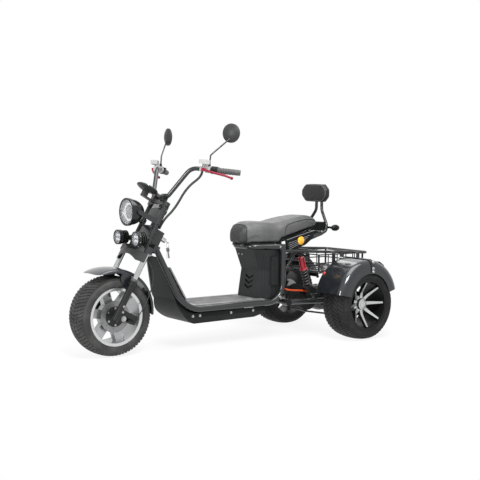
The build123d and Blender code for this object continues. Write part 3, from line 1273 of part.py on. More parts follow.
def seat():
    """Two-level seat on a hinged pan: the rider's part in front, a raised pillion part behind."""
    low = SEAT_Z + PAN_T
    # Station, half width, lower and upper height, corner radius of the cushion's cross-sections
    sections = [
        (SEAT_FRONT, 36, low + 4, low + 46, 14),
        (SEAT_FRONT - 14, 60, low, low + 80.7, 24),
        (SEAT_FRONT - 46, 84, low, low + 110.7, 34),
        (SEAT_FRONT - 110, 122, low, low + 124.7, 40),
        (520, 144, low, low + 124.7, 40),
        (KNEE_X + 16, 150, low, low + 118.7, 40),
        (KNEE_X, 149, KNEE_LOW, low + 119.7, 36),
        (300, 130, pillion_low(300), low + 147.7, 36),
        (200, 116, pillion_low(200), low + 160.7, 32),
        (SEAT_BACK + 36, 104, pillion_low(SEAT_BACK + 36), low + 153.7, 26),
        (SEAT_BACK, 88, PILLION_LOW + 6, low + 132.7, 14),
    ]
    rings = []
    for x, half, bottom, top, corner in sections:
        at = Plane((x, 0, (bottom + top) / 2), x_dir=(0, 1, 0), z_dir=(1, 0, 0))
        rings.append(at * RectangleRounded(2 * half, top - bottom, corner))
    keep("seat_cushion", loft(rings, ruled=True))

    t = PAN_T - FIT
    nose = HINGE_X - KNUCKLE_R - 4
    pan = [
        (nose, SEAT_Z),
        (nose, SEAT_Z + t),
        (KNEE_X + 16 - FIT, SEAT_Z + t),
        (KNEE_X - FIT, KNEE_LOW - FIT),
        (SEAT_BACK + 36, PILLION_LOW - FIT),
        (SEAT_BACK + 36, PILLION_LOW - FIT - t),
        (KNEE_X - 6 - FIT, KNEE_LOW - FIT - t),
        (KNEE_X + 8, SEAT_Z),
    ]
    pan = side_plate(pan, -300, 300) & extrude(make_face(seat_plan(10)), 1000, dir=(0, 0, 1))
    leaf = block((HINGE_X - KNUCKLE_R, -26, HINGE_Z), (HINGE_X, 26, SEAT_Z + t))
    leaf += block((SEAT_RAIL_FRONT, -26, SEAT_Z), (HINGE_X, 26, SEAT_Z + t))
    pan += leaf + rod((HINGE_X, -29, HINGE_Z), (HINGE_X, 29, HINGE_Z), KNUCKLE_R)
    pan -= rod((HINGE_X, -60, HINGE_Z), (HINGE_X, 60, HINGE_Z), HINGE_PIN_D / 2 + RUN)
    keep("seat_pan", pan)


def seat_plan(inset):
    """The seat from above: narrow nose, full width over the box, narrower to the tail."""
    # Station and half width
    half = [(SEAT_FRONT, 36), (SEAT_FRONT - 14, 60), (SEAT_FRONT - 110, 122), (KNEE_X + 16, 150), (KNEE_X, 149)]
    half += [(SEAT_BACK + 36, 104), (SEAT_BACK, 88)]
    half = [(x, y - inset) for x, y in half]
    return Polyline(*half, *[(x, -y) for x, y in reversed(half)], close=True)


def export_all():
    os.makedirs("parts", exist_ok=True)
    for name, solids in PIECES.items():
        moved = [Pos(-MID_X, 0, 0) * s for s in solids]
        export_step(moved[0] if len(moved) == 1 else Compound(children=moved), f"parts/{name}.step")


front_wheel()
rear_wheels()
front_fork()
handlebar()
lamps()
display()
fork_shroud()
front_fender()
front_caliper()
hoses()
main_frame()
belly_pan()
footboard()
battery_box()
tail_panels()
tail()
backrest()
rack()
rear_fenders()
rear_axle()
shocks()
electrics()
seat()
export_all()
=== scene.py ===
import math

import bmesh
import bpy
from mathutils import Matrix, Vector
from mathutils.bvhtree import BVHTree


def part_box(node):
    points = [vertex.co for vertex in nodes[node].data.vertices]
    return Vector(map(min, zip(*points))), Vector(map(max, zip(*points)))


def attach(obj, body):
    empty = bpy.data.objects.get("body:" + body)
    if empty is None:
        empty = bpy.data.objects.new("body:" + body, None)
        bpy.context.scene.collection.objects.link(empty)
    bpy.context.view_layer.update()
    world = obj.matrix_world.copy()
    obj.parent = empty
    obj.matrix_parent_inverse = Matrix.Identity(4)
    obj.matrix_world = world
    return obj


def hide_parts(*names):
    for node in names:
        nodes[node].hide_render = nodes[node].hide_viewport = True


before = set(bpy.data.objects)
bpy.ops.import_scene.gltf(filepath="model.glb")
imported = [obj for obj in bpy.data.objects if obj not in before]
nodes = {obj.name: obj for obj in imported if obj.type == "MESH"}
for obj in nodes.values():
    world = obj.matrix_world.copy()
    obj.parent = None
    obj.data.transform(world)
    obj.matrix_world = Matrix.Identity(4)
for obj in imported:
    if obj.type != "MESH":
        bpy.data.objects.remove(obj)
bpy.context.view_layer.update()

# Main frame: two bent steel tubes from the neck round the deck and up behind the battery box,
# welded to the head tube, with the seat subframe behind. Blasted and powder coated satin black,
# so the coat is finely stippled, clouds a little in gloss and holds dust where it lies flat.


class Signal:
    """A node's output that takes part in plain arithmetic: each operation adds a Math node."""

    def __init__(self, owner, socket):
        self.owner = owner
        self.socket = socket

    def math(self, operation, first, second=0.0):
        return self.owner.node("ShaderNodeMath", {"operation": operation}, {0: first, 1: second})

    def __add__(self, other):
        return self.math("ADD", self, other)

    def __sub__(self, other):
        return self.math("SUBTRACT", self, other)

    def __rsub__(self, other):
        return self.math("SUBTRACT", other, self)

    def __mul__(self, other):
        return self.math("MULTIPLY", self, other)

    def __truediv__(self, other):
        return self.math("DIVIDE", self, other)

    def __pow__(self, other):
        return self.math("POWER", self, other)

    __radd__ = __add__
    __rmul__ = __mul__

    def sine(self):
        return self.math("SINE", self)

    def size(self):
        return self.math("ABSOLUTE", self)

    def step(self, low, high):
        """0 below low, 1 above high and smooth between them."""
        return self.owner.node(
            "ShaderNodeMapRange",
            {"interpolation_type": "SMOOTHSTEP"},
            {"Value": self, "From Min": low, "From Max": high},
        )


class Nodes:
    """A node tree to which nodes are added by type, settings and inputs."""

    def __init__(self, tree):
        self.tree = tree

    def node(self, kind, settings=None, inputs=None, output=0):
        made = self.tree.nodes.new(kind)
        for key, value in (settings or {}).items():
            setattr(made, key, value)
        for key, value in (inputs or {}).items():
            for part in value if isinstance(value, list) else [value]:
                if isinstance(part, Signal):
                    self.tree.links.new(part.socket, made.inputs[key])
                else:
                    made.inputs[key].default_value = part
        return Signal(self, made.outputs[output]) if len(made.outputs) else None

    def part(self, vector, axis):
        """One of a vector's three parts."""
        return self.node("ShaderNodeSeparateXYZ", {}, {"Vector": vector}, axis)

    def shows_background(self):
        """1 for rays that show the background: from the camera, off a mirror or through glass."""
        labels = ("Is Camera Ray", "Is Glossy Ray", "Is Transmission Ray")
        seen, mirrored, through = (self.node("ShaderNodeLightPath", output=label) for label in labels)
        return seen + mirrored + through


class Finish(Nodes):
    """One finish of the vehicle: a material that ends in a Principled shader."""

    def __init__(self, name):
        self.material = bpy.data.materials.new(name)
        self.material.use_nodes = True
        self.material.node_tree.nodes.clear()
        super().__init__(self.material.node_tree)

    def place(self, scale=(1, 1, 1), shift=(0, 0, 0)):
        where = self.node("ShaderNodeTexCoord", output="Object")
        return self.node("ShaderNodeMapping", {}, {"Vector": where, "Scale": scale, "Location": shift})

    def grain(self, scale, detail=3.0, where=None):
        inputs = {"Vector": where or self.place(), "Scale": scale, "Detail": detail}
        return self.node("ShaderNodeTexNoise", {}, inputs)

    def cells(self, scale, feature="F1"):
        inputs = {"Vector": self.place(), "Scale": scale}
        return self.node("ShaderNodeTexVoronoi", {"feature": feature}, inputs)

    def tint(self, factor, first, second):
        return self.node("ShaderNodeMix", {"data_type": "RGBA"}, {0: factor, 6: first, 7: second}, 2)

    def raised(self, height, depth, strength=1.0, below=None):
        inputs = {"Height": height, "Distance": depth, "Strength": strength}
        if below:
            inputs["Normal"] = below
        return self.node("ShaderNodeBump", {}, inputs)

    def facing(self, axis):
        """How far the surface faces along an axis."""
        return self.part(self.node("ShaderNodeTexCoord", output="Normal"), axis)

    def upward(self):
        """1 where the surface faces up and 0 where it faces sideways or down."""
        return self.facing("Z").step(0.3, 1.0)

    def surface(self, tones, roughness, relief, others=None):
        """Ends in a shader: tones are one colour, or a factor and two; relief is a bump's sizes."""
        tone = self.tint(*tones) if len(tones) == 3 else tones
        inputs = {"Base Color": tone, "Roughness": roughness, "Normal": self.raised(*relief)}
        shader = self.node("ShaderNodeBsdfPrincipled", {}, {**inputs, **(others or {})})
        self.node("ShaderNodeOutputMaterial", {}, {"Surface": shader})


def shade(red, green=None, blue=None):
    return (red, red if green is None else green, red if blue is None else blue, 1)


def dress(finish, *names):
    for name in names:
        for slot in nodes[name].material_slots:
            slot.material = finish.material


black_coat = Finish("Black powder coat")
gloss_cloud = black_coat.grain(9, 4)
settled = black_coat.upward() * black_coat.grain(40, 5).step(0.45, 0.75)
black_coat.surface(
    (settled * 0.5, shade(0.016, 0.0168, 0.0175), shade(0.036, 0.0355, 0.035)),
    0.1 + gloss_cloud * 0.1 + settled * 0.1,
    (black_coat.grain(650, 2), 0.0003, 0.3),
    {"Specular IOR Level": 0.5},
)
dress(black_coat, "main_frame", "backrest_tubes", "luggage_rack", "basket", "swingarm", "rear_axle")
dress(black_coat, "fender_straps", "lamp_bracket", "handlebar", "upper_yoke", "lower_yoke")
dress(black_coat, "mirror_stems")


def placed(name, data):
    """A new object in the scene."""
    made = bpy.data.objects.new(name, data)
    bpy.context.scene.collection.objects.link(made)
    return made


def piece(name, data, finish, body, slot, *replaced):
    """A finished piece: its form in its place, its finish and the body that it rides on; its slot is not
    used.
    """
    made = placed(name, data)
    data.materials.clear()
    data.materials.append(finish.material)
    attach(made, body)
    if replaced:
        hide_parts(*replaced)
    return made


def skin(name, bm, crease=35):
    """Closes a mesh: doubles merged, faces turned outwards, smooth up to the crease angle."""
    bmesh.ops.remove_doubles(bm, verts=bm.verts, dist=1e-6)
    bmesh.ops.recalc_face_normals(bm, faces=bm.faces)
    for face in bm.faces:
        face.smooth = True
    for edge in bm.edges:
        edge.smooth = edge.is_manifold and edge.calc_face_angle(0) < math.radians(crease)
    mesh = bpy.data.meshes.new(name)
    bm.to_mesh(mesh)
    bm.free()
    return mesh


def shaped(name, bm, *rest):
    """A finished piece made of one mesh."""
    return piece(name, skin(name, bm), *rest)


def baked(holder):
    """The plain mesh that an object's modifiers make."""
    return bpy.data.meshes.new_from_object(holder.evaluated_get(bpy.context.evaluated_depsgraph_get()))


def along(origin, axis):
    """A frame at origin whose Z runs along axis."""
    return Matrix.Translation(origin) @ Vector(axis).to_track_quat("Z", "Y").to_matrix().to_4x4()


def turned(bm, profile, place, sides=48):
    """A turned form: the profile's (radius, height) points go round the Z of place."""
    rings = []
    for radius, height in profile:
        spots = sides if radius > 0 else 1
        ring = []
        for i in range(spots):
            angle = math.tau * i / sides
            spot = Vector((radius * math.cos(angle), radius * math.sin(angle), height))
            ring.append(bm.verts.new(place @ spot))
        rings.append(ring)
    for lower, upper in zip(rings, rings[1:]):
        for i in range(sides):
            j = (i + 1) % sides
            edge = [ring[k % len(ring)] for ring, k in ((lower, i), (lower, j), (upper, j), (upper, i))]
            corners = list(dict.fromkeys(edge))
            if len(corners) > 2:
                bm.faces.new(corners)


def wound(bm, points, radius, sides=10, closed=False):
    """A round wire along points."""
    rings = []
    count = len(points)
    normal = None
    for i, point in enumerate(points):
        before = points[i - 1] if i or closed else points[i]
        after = points[(i + 1) % count] if i < count - 1 or closed else points[i]
        tangent = (after - before).normalized()
        if normal is None:
            normal = tangent.orthogonal()
        normal = (normal - tangent * normal.dot(tangent)).normalized()
        other = tangent.cross(normal)
        ring = []
        for k in range(sides):
            angle = math.tau * k / sides
            outward = normal * math.cos(angle) + other * math.sin(angle)
            ring.append(bm.verts.new(point + outward * radius))
        rings.append(ring)
    pairs = list(zip(rings, rings[1:]))
    if closed:
        pairs.append((rings[-1], rings[0]))
    for lower, upper in pairs:
        for k in range(sides):
            j = (k + 1) % sides
            bm.faces.new((lower[k], lower[j], upper[j], upper[k]))
    if not closed:
        bm.faces.new(rings[0])
        bm.faces.new(list(reversed(rings[-1])))


REAR_AXLE_X = -0.759


def station(x, y, z):
    """A point given from the rear axle, as the sizes in the CAD source are."""
    return Vector((x + REAR_AXLE_X, y, z))


class Pattern(Nodes):
    """A Geometry Nodes tree with named inputs for its sizes, which repeats the shape given to it."""

    def __init__(self, name, sizes):
        super().__init__(bpy.data.node_groups.new(name, "GeometryNodeTree"))
        sockets = {"Geometry": "NodeSocketGeometry", "Finish": "NodeSocketMaterial", **sizes}
        for label, kind in sockets.items():
            self.tree.interface.new_socket(label, in_out="INPUT", socket_type=kind)
        self.tree.interface.new_socket("Geometry", in_out="OUTPUT", socket_type="NodeSocketGeometry")
        self.entry = self.tree.nodes.new("NodeGroupInput")

    def given(self, label):
        return Signal(self, self.entry.outputs[label])

    def end(self, shape):
        whole = self.node("GeometryNodeRealizeInstances", {}, {"Geometry": shape})
        inputs = {"Geometry": whole, "Material": self.given("Finish")}
        painted = self.node("GeometryNodeSetMaterial", {}, inputs)
        self.node("NodeGroupOutput", {}, {"Geometry": painted})

    def end_copies(self, points, shape, turn, size=(1, 1, 1)):
        copies = {"Points": points, "Instance": shape, "Rotation": turn, "Scale": size}
        self.end(self.node("GeometryNodeInstanceOnPoints", {}, copies))

    def end_scattered(self, shape):
        """Ends with a copy of shape on each point, with the way and the size that the point holds."""
        held = "GeometryNodeInputNamedAttribute"
        way = self.node(held, {"data_type": "FLOAT_VECTOR"}, {"Name": "way"}, "Attribute")
        size = self.node(held, {"data_type": "FLOAT"}, {"Name": "size"}, "Attribute")
        turn = self.node("FunctionNodeAlignRotationToVector", {"axis": "Z"}, {"Vector": way})
        self.end_copies(self.given("Geometry"), shape, turn, size)

    def run(self, mesh, values):
        """The plain mesh that the tree makes of mesh."""
        carrier = placed("carrier", mesh)
        modifier = carrier.modifiers.new("pattern", "NODES")
        modifier.node_group = self.tree
        for item in self.tree.interface.items_tree:
            if item.in_out == "INPUT" and item.name in values:
                modifier[item.identifier] = values[item.name]
        made = baked(carrier)
        carrier.modifiers.remove(modifier)
        bpy.data.objects.remove(carrier)
        return made


bolt_heads = Pattern("Bolt heads", {"Corners": "NodeSocketInt"})
head = bolt_heads.node(
    "GeometryNodeMeshCylinder", {}, {"Vertices": bolt_heads.given("Corners"), "Radius": 1.0, "Depth": 0.9}
)
head = bolt_heads.node("GeometryNodeTransform", {}, {"Geometry": head, "Translation": (0, 0, 0.65)})
washer = bolt_heads.node("GeometryNodeMeshCylinder", {}, {"Vertices": 20, "Radius": 1.45, "Depth": 0.4})
screw = bolt_heads.node("GeometryNodeJoinGeometry", {}, {"Geometry": [head, washer]})
bolt_heads.end_scattered(screw)

zinc = Finish("Zinc plated steel")
zinc_cloud = zinc.grain(160, 4)
zinc.surface(
    (zinc_cloud, shade(0.34, 0.34, 0.33), shade(0.56, 0.56, 0.54)),
    0.2 + zinc_cloud * 0.2,
    (zinc.grain(900, 2), 0.0002, 0.25),
    {"Metallic": 0.95},
)


def scattered(name, rows):
    """A mesh of loose points, each with the way that it faces and its size."""
    mesh = bpy.data.meshes.new(name)
    mesh.from_pydata([place for place, way, size in rows], [], [])
    mesh.attributes.new("way", "FLOAT_VECTOR", "POINT")
    mesh.attributes.new("size", "FLOAT", "POINT")
    for i, (place, way, size) in enumerate(rows):
        mesh.attributes["way"].data[i].vector = way
        mesh.attributes["size"].data[i].value = size
    return mesh


BOLT_CORNERS = 6


def bolts(name, rows, body):
    """Bolt heads on their washers, one for each (place, way that it faces, half width)."""
    sizes = {"Corners": BOLT_CORNERS, "Finish": zinc.material}
    heads = bolt_heads.run(scattered(name + "_places", rows), sizes)
    piece(name, heads, zinc, body, "disc_steel")


both_sides = (1, -1)
# Place of each bolt on the left, how far it faces forward and its half width
FRAME_BOLTS = ((0.474, 0.1765, 0.273, 0, 0.006), (0.470, 0.1660, 0.5820, 0.36, 0.005))
rows = []
for side in both_sides:
    for x, y, z, forward, half in FRAME_BOLTS:
        rows.append((station(x, side * y, z), Vector((forward, side, 0)), half))
bolts("frame_bolts", rows, "chassis")

# Short upright stubs, welded where each loop tube turns forward under the seat
STUB_FOOT = (0.442, 0.160, 0.5305)
STUB = ((0, 0), (0.0168, 0), (0.0168, 0.066), (0.0150, 0.068), (0, 0.068))
bm = bmesh.new()
for side in both_sides:
    turned(bm, STUB, along(station(STUB_FOOT[0], side * STUB_FOOT[1], STUB_FOOT[2]), (0, 0, 1)), 32)
shaped("loop_stubs", bm, black_coat, "chassis", "black_paint")

# Belly pan, battery box and tail panels: injection moulded black plastic with a fine spark-eroded
# grain, screwed to tabs on the frame tubes.
moulded = Finish("Moulded black plastic")
pimple = moulded.cells(1100)
smear = moulded.grain(5, 5)
moulded.surface(
    (smear.step(0.35, 0.7), shade(0.006, 0.0065, 0.007), shade(0.011, 0.0118, 0.012)),
    0.34 + smear * 0.18,
    (pimple, 0.0004, 0.35),
    {"Specular IOR Level": 0.14},
)
dress(moulded, "belly_pan", "tail_panels", "seat_pan", "switch_pods", "rear_signals", "tail_lamp")

grey_moulding = Finish("Grey moulded plastic")
grey_smear = grey_moulding.grain(12, 5)
grey_moulding.surface(
    (grey_smear, shade(0.018, 0.0185, 0.019), shade(0.032, 0.0325, 0.033)),
    0.32 + grey_smear * 0.16,
    (grey_moulding.cells(1100), 0.0003, 0.3),
    {"Specular IOR Level": 0.24},
)
dress(grey_moulding, "display", "fork_shroud", "mirror_heads")

ribbed_case = Finish("Moulded box with panel lines")
length = ribbed_case.part(ribbed_case.place(), "X")
BOX_SEAMS_X = (0.468, 0.531, 0.548, 0.563)
panel_line = 0.0
for seam_x in BOX_SEAMS_X:
    panel_line = (1 - (length - (seam_x + REAR_AXLE_X)).size().step(0.0006, 0.0024)) + panel_line
case_smear = ribbed_case.grain(5, 5)
ribbed_case.surface(
    (case_smear.step(0.35, 0.7), shade(0.012, 0.0128, 0.013), shade(0.019, 0.02, 0.0205)),
    0.32 + case_smear * 0.18,
    (1 - panel_line, 0.002, 0.8, ribbed_case.raised(ribbed_case.cells(1100), 0.0004, 0.35)),
    {"Specular IOR Level": 0.17},
)
dress(ribbed_case, "battery_box")

PANEL_Y = 0.150
SKIRT_SCREWS_X = (1.107, 1.058, 0.833, 0.666)
SKIRT_SCREW_Z = 0.201
BOX_SCREWS_Y = (-0.070, -0.035)
BOX_SLOPE = Vector((0.927, 0, -0.375))
rows = []
for side in both_sides:
    for x in SKIRT_SCREWS_X:
        rows.append((station(x, side * PANEL_Y, SKIRT_SCREW_Z), Vector((0, side, 0)), 0.0056))
for y in BOX_SCREWS_Y:
    rows.append((station(0.6119, y, 0.529), BOX_SLOPE, 0.0038))
bolts("panel_screws", rows, "chassis")

# Painted highlights: a thin chrome strip along the top edge of each tail panel and four lines under it,
# laid on the moulding, stand in for light caught by the panel's edge and the edges of its slots.
TAIL_EDGE = ((0.408, 0.621), (0.330, 0.640), (0.250, 0.659), (0.180, 0.676))
TAIL_LINES = 4
bm = bmesh.new()
for side in both_sides:
    wound(bm, [station(x, side * PANEL_Y, z) for x, z in TAIL_EDGE], 0.0024, 8)
for side in both_sides:
    for i in range(TAIL_LINES):
        front = station(0.394 - 0.003 * i, side * 0.1502, 0.599 - 0.012 * i)
        back = station(0.214 + 0.018 * i, side * 0.1502, 0.6475 - 0.014 * i)
        wound(bm, [front, front.lerp(back, 0.5), back], 0.0018, 6)
tail_highlight_mesh = skin("tail_highlight_strips", bm)

case_finish = Finish("Battery case")
case_finish.surface(
    (case_finish.grain(30), shade(0.02), shade(0.035)),
    0.55 + case_finish.grain(60) * 0.15,
    (case_finish.grain(500), 0.0003, 0.4),
)
dress(case_finish, "battery")

# Deck: a moulded footboard with a ribbed rubber face, held down on the two rails. Its grey is lightened
# as painted reflection of the bright surroundings, and it is paler in patches of shoe scuffs and painted
# sheen.
deck_rubber = Finish("Deck rubber")
across = deck_rubber.part(deck_rubber.place(), "Y")
RIB_PITCH = 0.016
rib = (across * (math.tau / RIB_PITCH)).sine().step(-0.2, 0.5)
scuff_and_sheen = deck_rubber.grain(18, 6)
# Painted reflection: the rubber's pale grey stands in for the bright surroundings that it reflects.
deck_rubber.surface(
    (scuff_and_sheen.step(0.4, 0.75), shade(0.15), shade(0.24, 0.24, 0.236)),
    0.34 + scuff_and_sheen * 0.2,
    (rib * deck_rubber.upward(), 0.0016, 0.8),
)
dress(deck_rubber, "footboard")

# Rear drive: motor and gear case on the axle tube, two coil-over shocks and the controller's cables.
# Cast aluminium painted black, dark springs wound from round wire under red damper cans, an orange lead.
dark_cast = Finish("Black cast alloy")
pits = dark_cast.grain(420, 4)
dark_cast.surface(
    (pits, shade(0.006), shade(0.017, 0.017, 0.018)),
    0.38 + dark_cast.grain(22) * 0.2,
    (pits, 0.0005, 0.4),
    {"Metallic": 0.35},
)
dress(dark_cast, "motor", "controller", "front_caliper", "spot_lamps", "shock_bodies")

spring_steel = Finish("Dark spring steel")
spring_steel.surface(
    (spring_steel.grain(200), shade(0.05), shade(0.11)),
    0.3 + spring_steel.grain(300) * 0.2,
    (spring_steel.grain(800), 0.0002, 0.3),
    {"Metallic": 0.8},
)

spring_paint = Finish("Red damper paint")
spring_paint.surface(
    (spring_paint.grain(60), shade(0.34, 0.003, 0.014), shade(0.22, 0.002, 0.009)),
    0.22 + spring_paint.grain(120) * 0.14,
    (spring_paint.grain(700), 0.0002, 0.25),
    {"Coat Weight": 0.25, "Coat Roughness": 0.08},
)
dress(spring_paint, "shock_cans")

sheath = Finish("Orange cable sheath")
sheath.surface(
    (sheath.grain(90), shade(0.8, 0.1, 0.012), shade(0.6, 0.06, 0.008)),
    0.45 + sheath.grain(200) * 0.15,
    (sheath.grain(600), 0.0002, 0.3),
)


def hung(name, places, diameter, finish, body, slot, lay, length, *replaced):
    """A cable or hose whose line is drawn towards the places in turn."""
    line = bpy.data.curves.new(name, "CURVE")
    line.dimensions = "3D"
    line.bevel_depth = diameter / 2
    line.bevel_resolution = 5
    line.resolution_u = 10
    line.use_fill_caps = True
    run = line.splines.new("NURBS")
    run.points.add(len(places) - 1)
    for spot, place in zip(run.points, places):
        spot.co = (*place, 1)
    run.order_u = 3
    run.use_endpoint_u = True
    made = piece(name, line, finish, body, slot, *replaced)


PHASE_LEAD = (
    (0.386, 0.060, 0.3497),
    (0.386, 0.060, 0.3157),
    (0.326, 0.0815, 0.294),
    (0.178, 0.0815, 0.284),
    (0.162, 0.0815, 0.268),
    (0.162, 0.0795, 0.250),
)
places = [station(*place) for place in PHASE_LEAD]
hung("phase_lead", places, 0.011, sheath, "chassis", "orange_sheath", "taut", 0.277, "phase_cables")

SHOCK_Y = 0.112
SHOCK_LOW = (0.178, 0.262)
SHOCK_TOP = (0.262, 0.534)
COIL_RADIUS = 0.0205
WIRE_RADIUS = 0.0040
COIL_TURNS = 6
COIL_FOOT = 0.0665
COIL_RUN = 0.0990
COIL_STEPS = COIL_TURNS * 20
# Share of the wire that lies flat on each spring seat
COIL_FLAT = 0.06
bm = bmesh.new()
for side in both_sides:
    foot, head = (station(x, side * SHOCK_Y, z) for x, z in (SHOCK_LOW, SHOCK_TOP))
    coil_frame = along(foot, head - foot)
    wire = []
    for i in range(COIL_STEPS + 1):
        share = i / COIL_STEPS
        angle = math.tau * COIL_TURNS * share
        rise = COIL_FOOT + COIL_RUN * min(max((share - COIL_FLAT) / (1 - 2 * COIL_FLAT), 0), 1)
        spot = Vector((COIL_RADIUS * math.cos(angle), COIL_RADIUS * math.sin(angle), rise))
        wire.append(coil_frame @ spot)
    wound(bm, wire, WIRE_RADIUS)
shaped("shock_coils", bm, spring_steel, "chassis", "dark_steel", "shock_springs")

# Wheels: twelve-inch cast alloy rims. The front one is silver with six spokes and a stepped lip, the
# rear ones are black with eight machined spokes. Discs are ground steel, hubs black.
FRONT_AXLE = station(1.565, 0, 0.225)
silver = Finish("Silver cast alloy")
spot = silver.place(shift=(-FRONT_AXLE.x, 0, -FRONT_AXLE.z))
ahead, above = (silver.part(spot, axis) for axis in "XZ")
from_axle = (ahead * ahead + above * above) ** 0.5
lip = from_axle.step(0.147, 0.150)
sparkle = silver.grain(1400, 2)
haze = silver.grain(12, 5)
silver.surface(
    (lip, silver.tint(haze, shade(0.36, 0.37, 0.38), shade(0.46)), shade(0.58)),
    0.3 + haze * 0.14 - lip * 0.16,
    (sparkle, 0.0002, 0.25),
    {"Metallic": 0.85, "Coat Weight": 0.3, "Coat Roughness": 0.15},
)
dress(silver, "front_rim")

machined = Finish("Machined black alloy")
REAR_AXLE_Z = 0.221
spot = machined.place(shift=(-REAR_AXLE_X, 0, -REAR_AXLE_Z))
ahead, aside, above = (machined.part(spot, axis) for axis in "XYZ")
from_axle = (ahead * ahead + above * above) ** 0.5
outward = (machined.facing("Y") * aside.math("SIGN", aside)).step(0.45, 0.6)
turning = machined.grain(300, 2, machined.place((6, 1, 6)))
cut = outward * (1 - from_axle.step(0.1385, 0.1400))
machined.surface(
    (cut, shade(0.006), shade(0.5, 0.505, 0.51)),
    0.36 - cut * 0.12 + turning * 0.12,
    (turning, 0.0002, 0.2),
    {"Metallic": cut * 0.9, "Specular IOR Level": 0.2, "Coat Weight": cut * 0.4, "Coat Roughness": 0.08},
)
dress(machined, "rear_rim_left", "rear_rim_right")

ground_steel = Finish("Ground disc steel")
swirl = ground_steel.grain(500, 3, ground_steel.place((1, 8, 1)))
ground_steel.surface(
    (swirl, shade(0.22), shade(0.32)),
    0.34 + swirl * 0.2,
    (swirl, 0.0002, 0.3),
    {"Metallic": 1.0},
)
dress(ground_steel, "front_brake_disc", "rear_brake_disc_left", "rear_brake_disc_right")

# Front hub: a black carrier over the middle of the drilled disc, held by six bolts, and a valve stem.
CARRIER = ((0.0181, 0.0562), (0.0181, 0.0605), (0.034, 0.0600), (0.0575, 0.0580), (0.0580, 0.0562))
bm = bmesh.new()
turned(bm, CARRIER + CARRIER[:1], along(FRONT_AXLE, (0, 1, 0)), 64)
shaped("disc_carrier", bm, dark_cast, "front_wheel", "black_alloy")
DISC_BOLTS = 6
BOLT_CIRCLE = 0.047
rows = []
for i in range(DISC_BOLTS):
    angle = math.tau * (i + 0.5) / DISC_BOLTS
    place = FRONT_AXLE + Vector((BOLT_CIRCLE * math.cos(angle), 0.0590, BOLT_CIRCLE * math.sin(angle)))
    rows.append((place, Vector((0, 1, 0)), 0.0045))
bolts("disc_bolts", rows, "front_wheel")
VALVE_TURN = math.radians(102)
VALVE_STEM = ((0, 0), (0.0055, 0), (0.0050, 0.006), (0.0032, 0.009), (0.0032, 0.026))
VALVE_CAP = ((0.0042, 0.027), (0.0042, 0.034), (0, 0.035))
valve_way = Vector((-math.cos(VALVE_TURN), 0, math.sin(VALVE_TURN)))
valve_root = FRONT_AXLE + valve_way * 0.1455 + Vector((0, 0.034, 0))
bm = bmesh.new()
turned(bm, VALVE_STEM + VALVE_CAP, along(valve_root, -valve_way + Vector((0, 0.25, 0))), 16)
shaped("valve_stem", bm, dark_cast, "front_wheel", "soft_rubber")

# Rear hubs: a dark flange behind the spokes with four capped lug nuts, and a bright cap on the hub's end.
HALF_TRACK = 0.372
FLANGE = ((0.034, 0.0), (0.034, 0.004), (0.074, 0.003), (0.076, 0.0), (0.034, 0.0))
HUB_CAP = ((0.0230, 0.0), (0.0230, 0.0045), (0.020, 0.007), (0.010, 0.0088), (0, 0.009), (0, 0.0005))
LUG_CIRCLE = 0.056
LUG_NUTS = 4
LUG_TURN = 52
for side, label in ((1, "left"), (-1, "right")):
    hub = station(0, side * HALF_TRACK, REAR_AXLE_Z)
    out = Vector((0, side, 0))
    bm = bmesh.new()
    turned(bm, FLANGE, along(hub + out * 0.006, out), 48)
    shaped("lug_flange_" + label, bm, dark_cast, "rear_wheel_" + label, "black_alloy")
    rows = []
    for i in range(LUG_NUTS):
        angle = math.radians(LUG_TURN + 360 / LUG_NUTS * i)
        place = hub + Vector((LUG_CIRCLE * math.cos(angle), side * 0.010, LUG_CIRCLE * math.sin(angle)))
        rows.append((place, out, 0.0100))
    bolts("lug_nuts_" + label, rows, "rear_wheel_" + label)
    bm = bmesh.new()
    turned(bm, HUB_CAP, along(hub + out * 0.0463, out), 48)
    shaped("hub_cap_" + label, bm, machined, "rear_wheel_" + label, "black_alloy")

# Tyres: tubeless scooter tyres. The front one has swept chevron blocks either side of a middle groove,
# the rear ones long slanting blocks; the carcass is a turned section, and the blocks go round it.
tyre_rubber = Finish("Tyre rubber")
bloom = tyre_rubber.grain(14, 6)
tyre_rubber.surface(
    (bloom.step(0.4, 0.75), shade(0.013), shade(0.026, 0.026, 0.025)),
    0.44 + bloom * 0.2,
    (tyre_rubber.grain(500, 3), 0.0004, 0.3),
    {"Specular IOR Level": 0.14},
)

# Painted light: the front tyre gets a lighter copy of the tyre rubber, standing in for the stronger light
# on it.
lit_front_rubber = Finish("Front tyre rubber")
dust = lit_front_rubber.grain(14, 6)
lit_front_rubber.surface(
    (dust.step(0.4, 0.75), shade(0.028), shade(0.055, 0.055, 0.053)),
    0.46 + dust * 0.2,
    (lit_front_rubber.grain(500, 3), 0.0004, 0.3),
    {"Specular IOR Level": 0.2},
)

tread_ring = Pattern("Tread ring", {"Pitches": "NodeSocketInt"})
pitches = tread_ring.given("Pitches")
spots = tread_ring.node("GeometryNodeMeshLine", {}, {"Count": pitches, "Offset": (0, 0, 0)})
quarter = tread_ring.node("GeometryNodeInputIndex") * math.tau / pitches
turn = tread_ring.node("ShaderNodeCombineXYZ", {}, {"Y": quarter})
turn = tread_ring.node("FunctionNodeEulerToRotation", {}, {"Euler": turn})
tread_ring.end_copies(spots, tread_ring.given("Geometry"), turn)

BEAD_R = 0.1665
TREAD_DEPTH = 0.0045
CROWN_DROP = 0.012
SHOULDER = 0.87
LUG_CHAMFER = 0.0012
LUG_STEPS = 4
CROWN_STEPS = 8
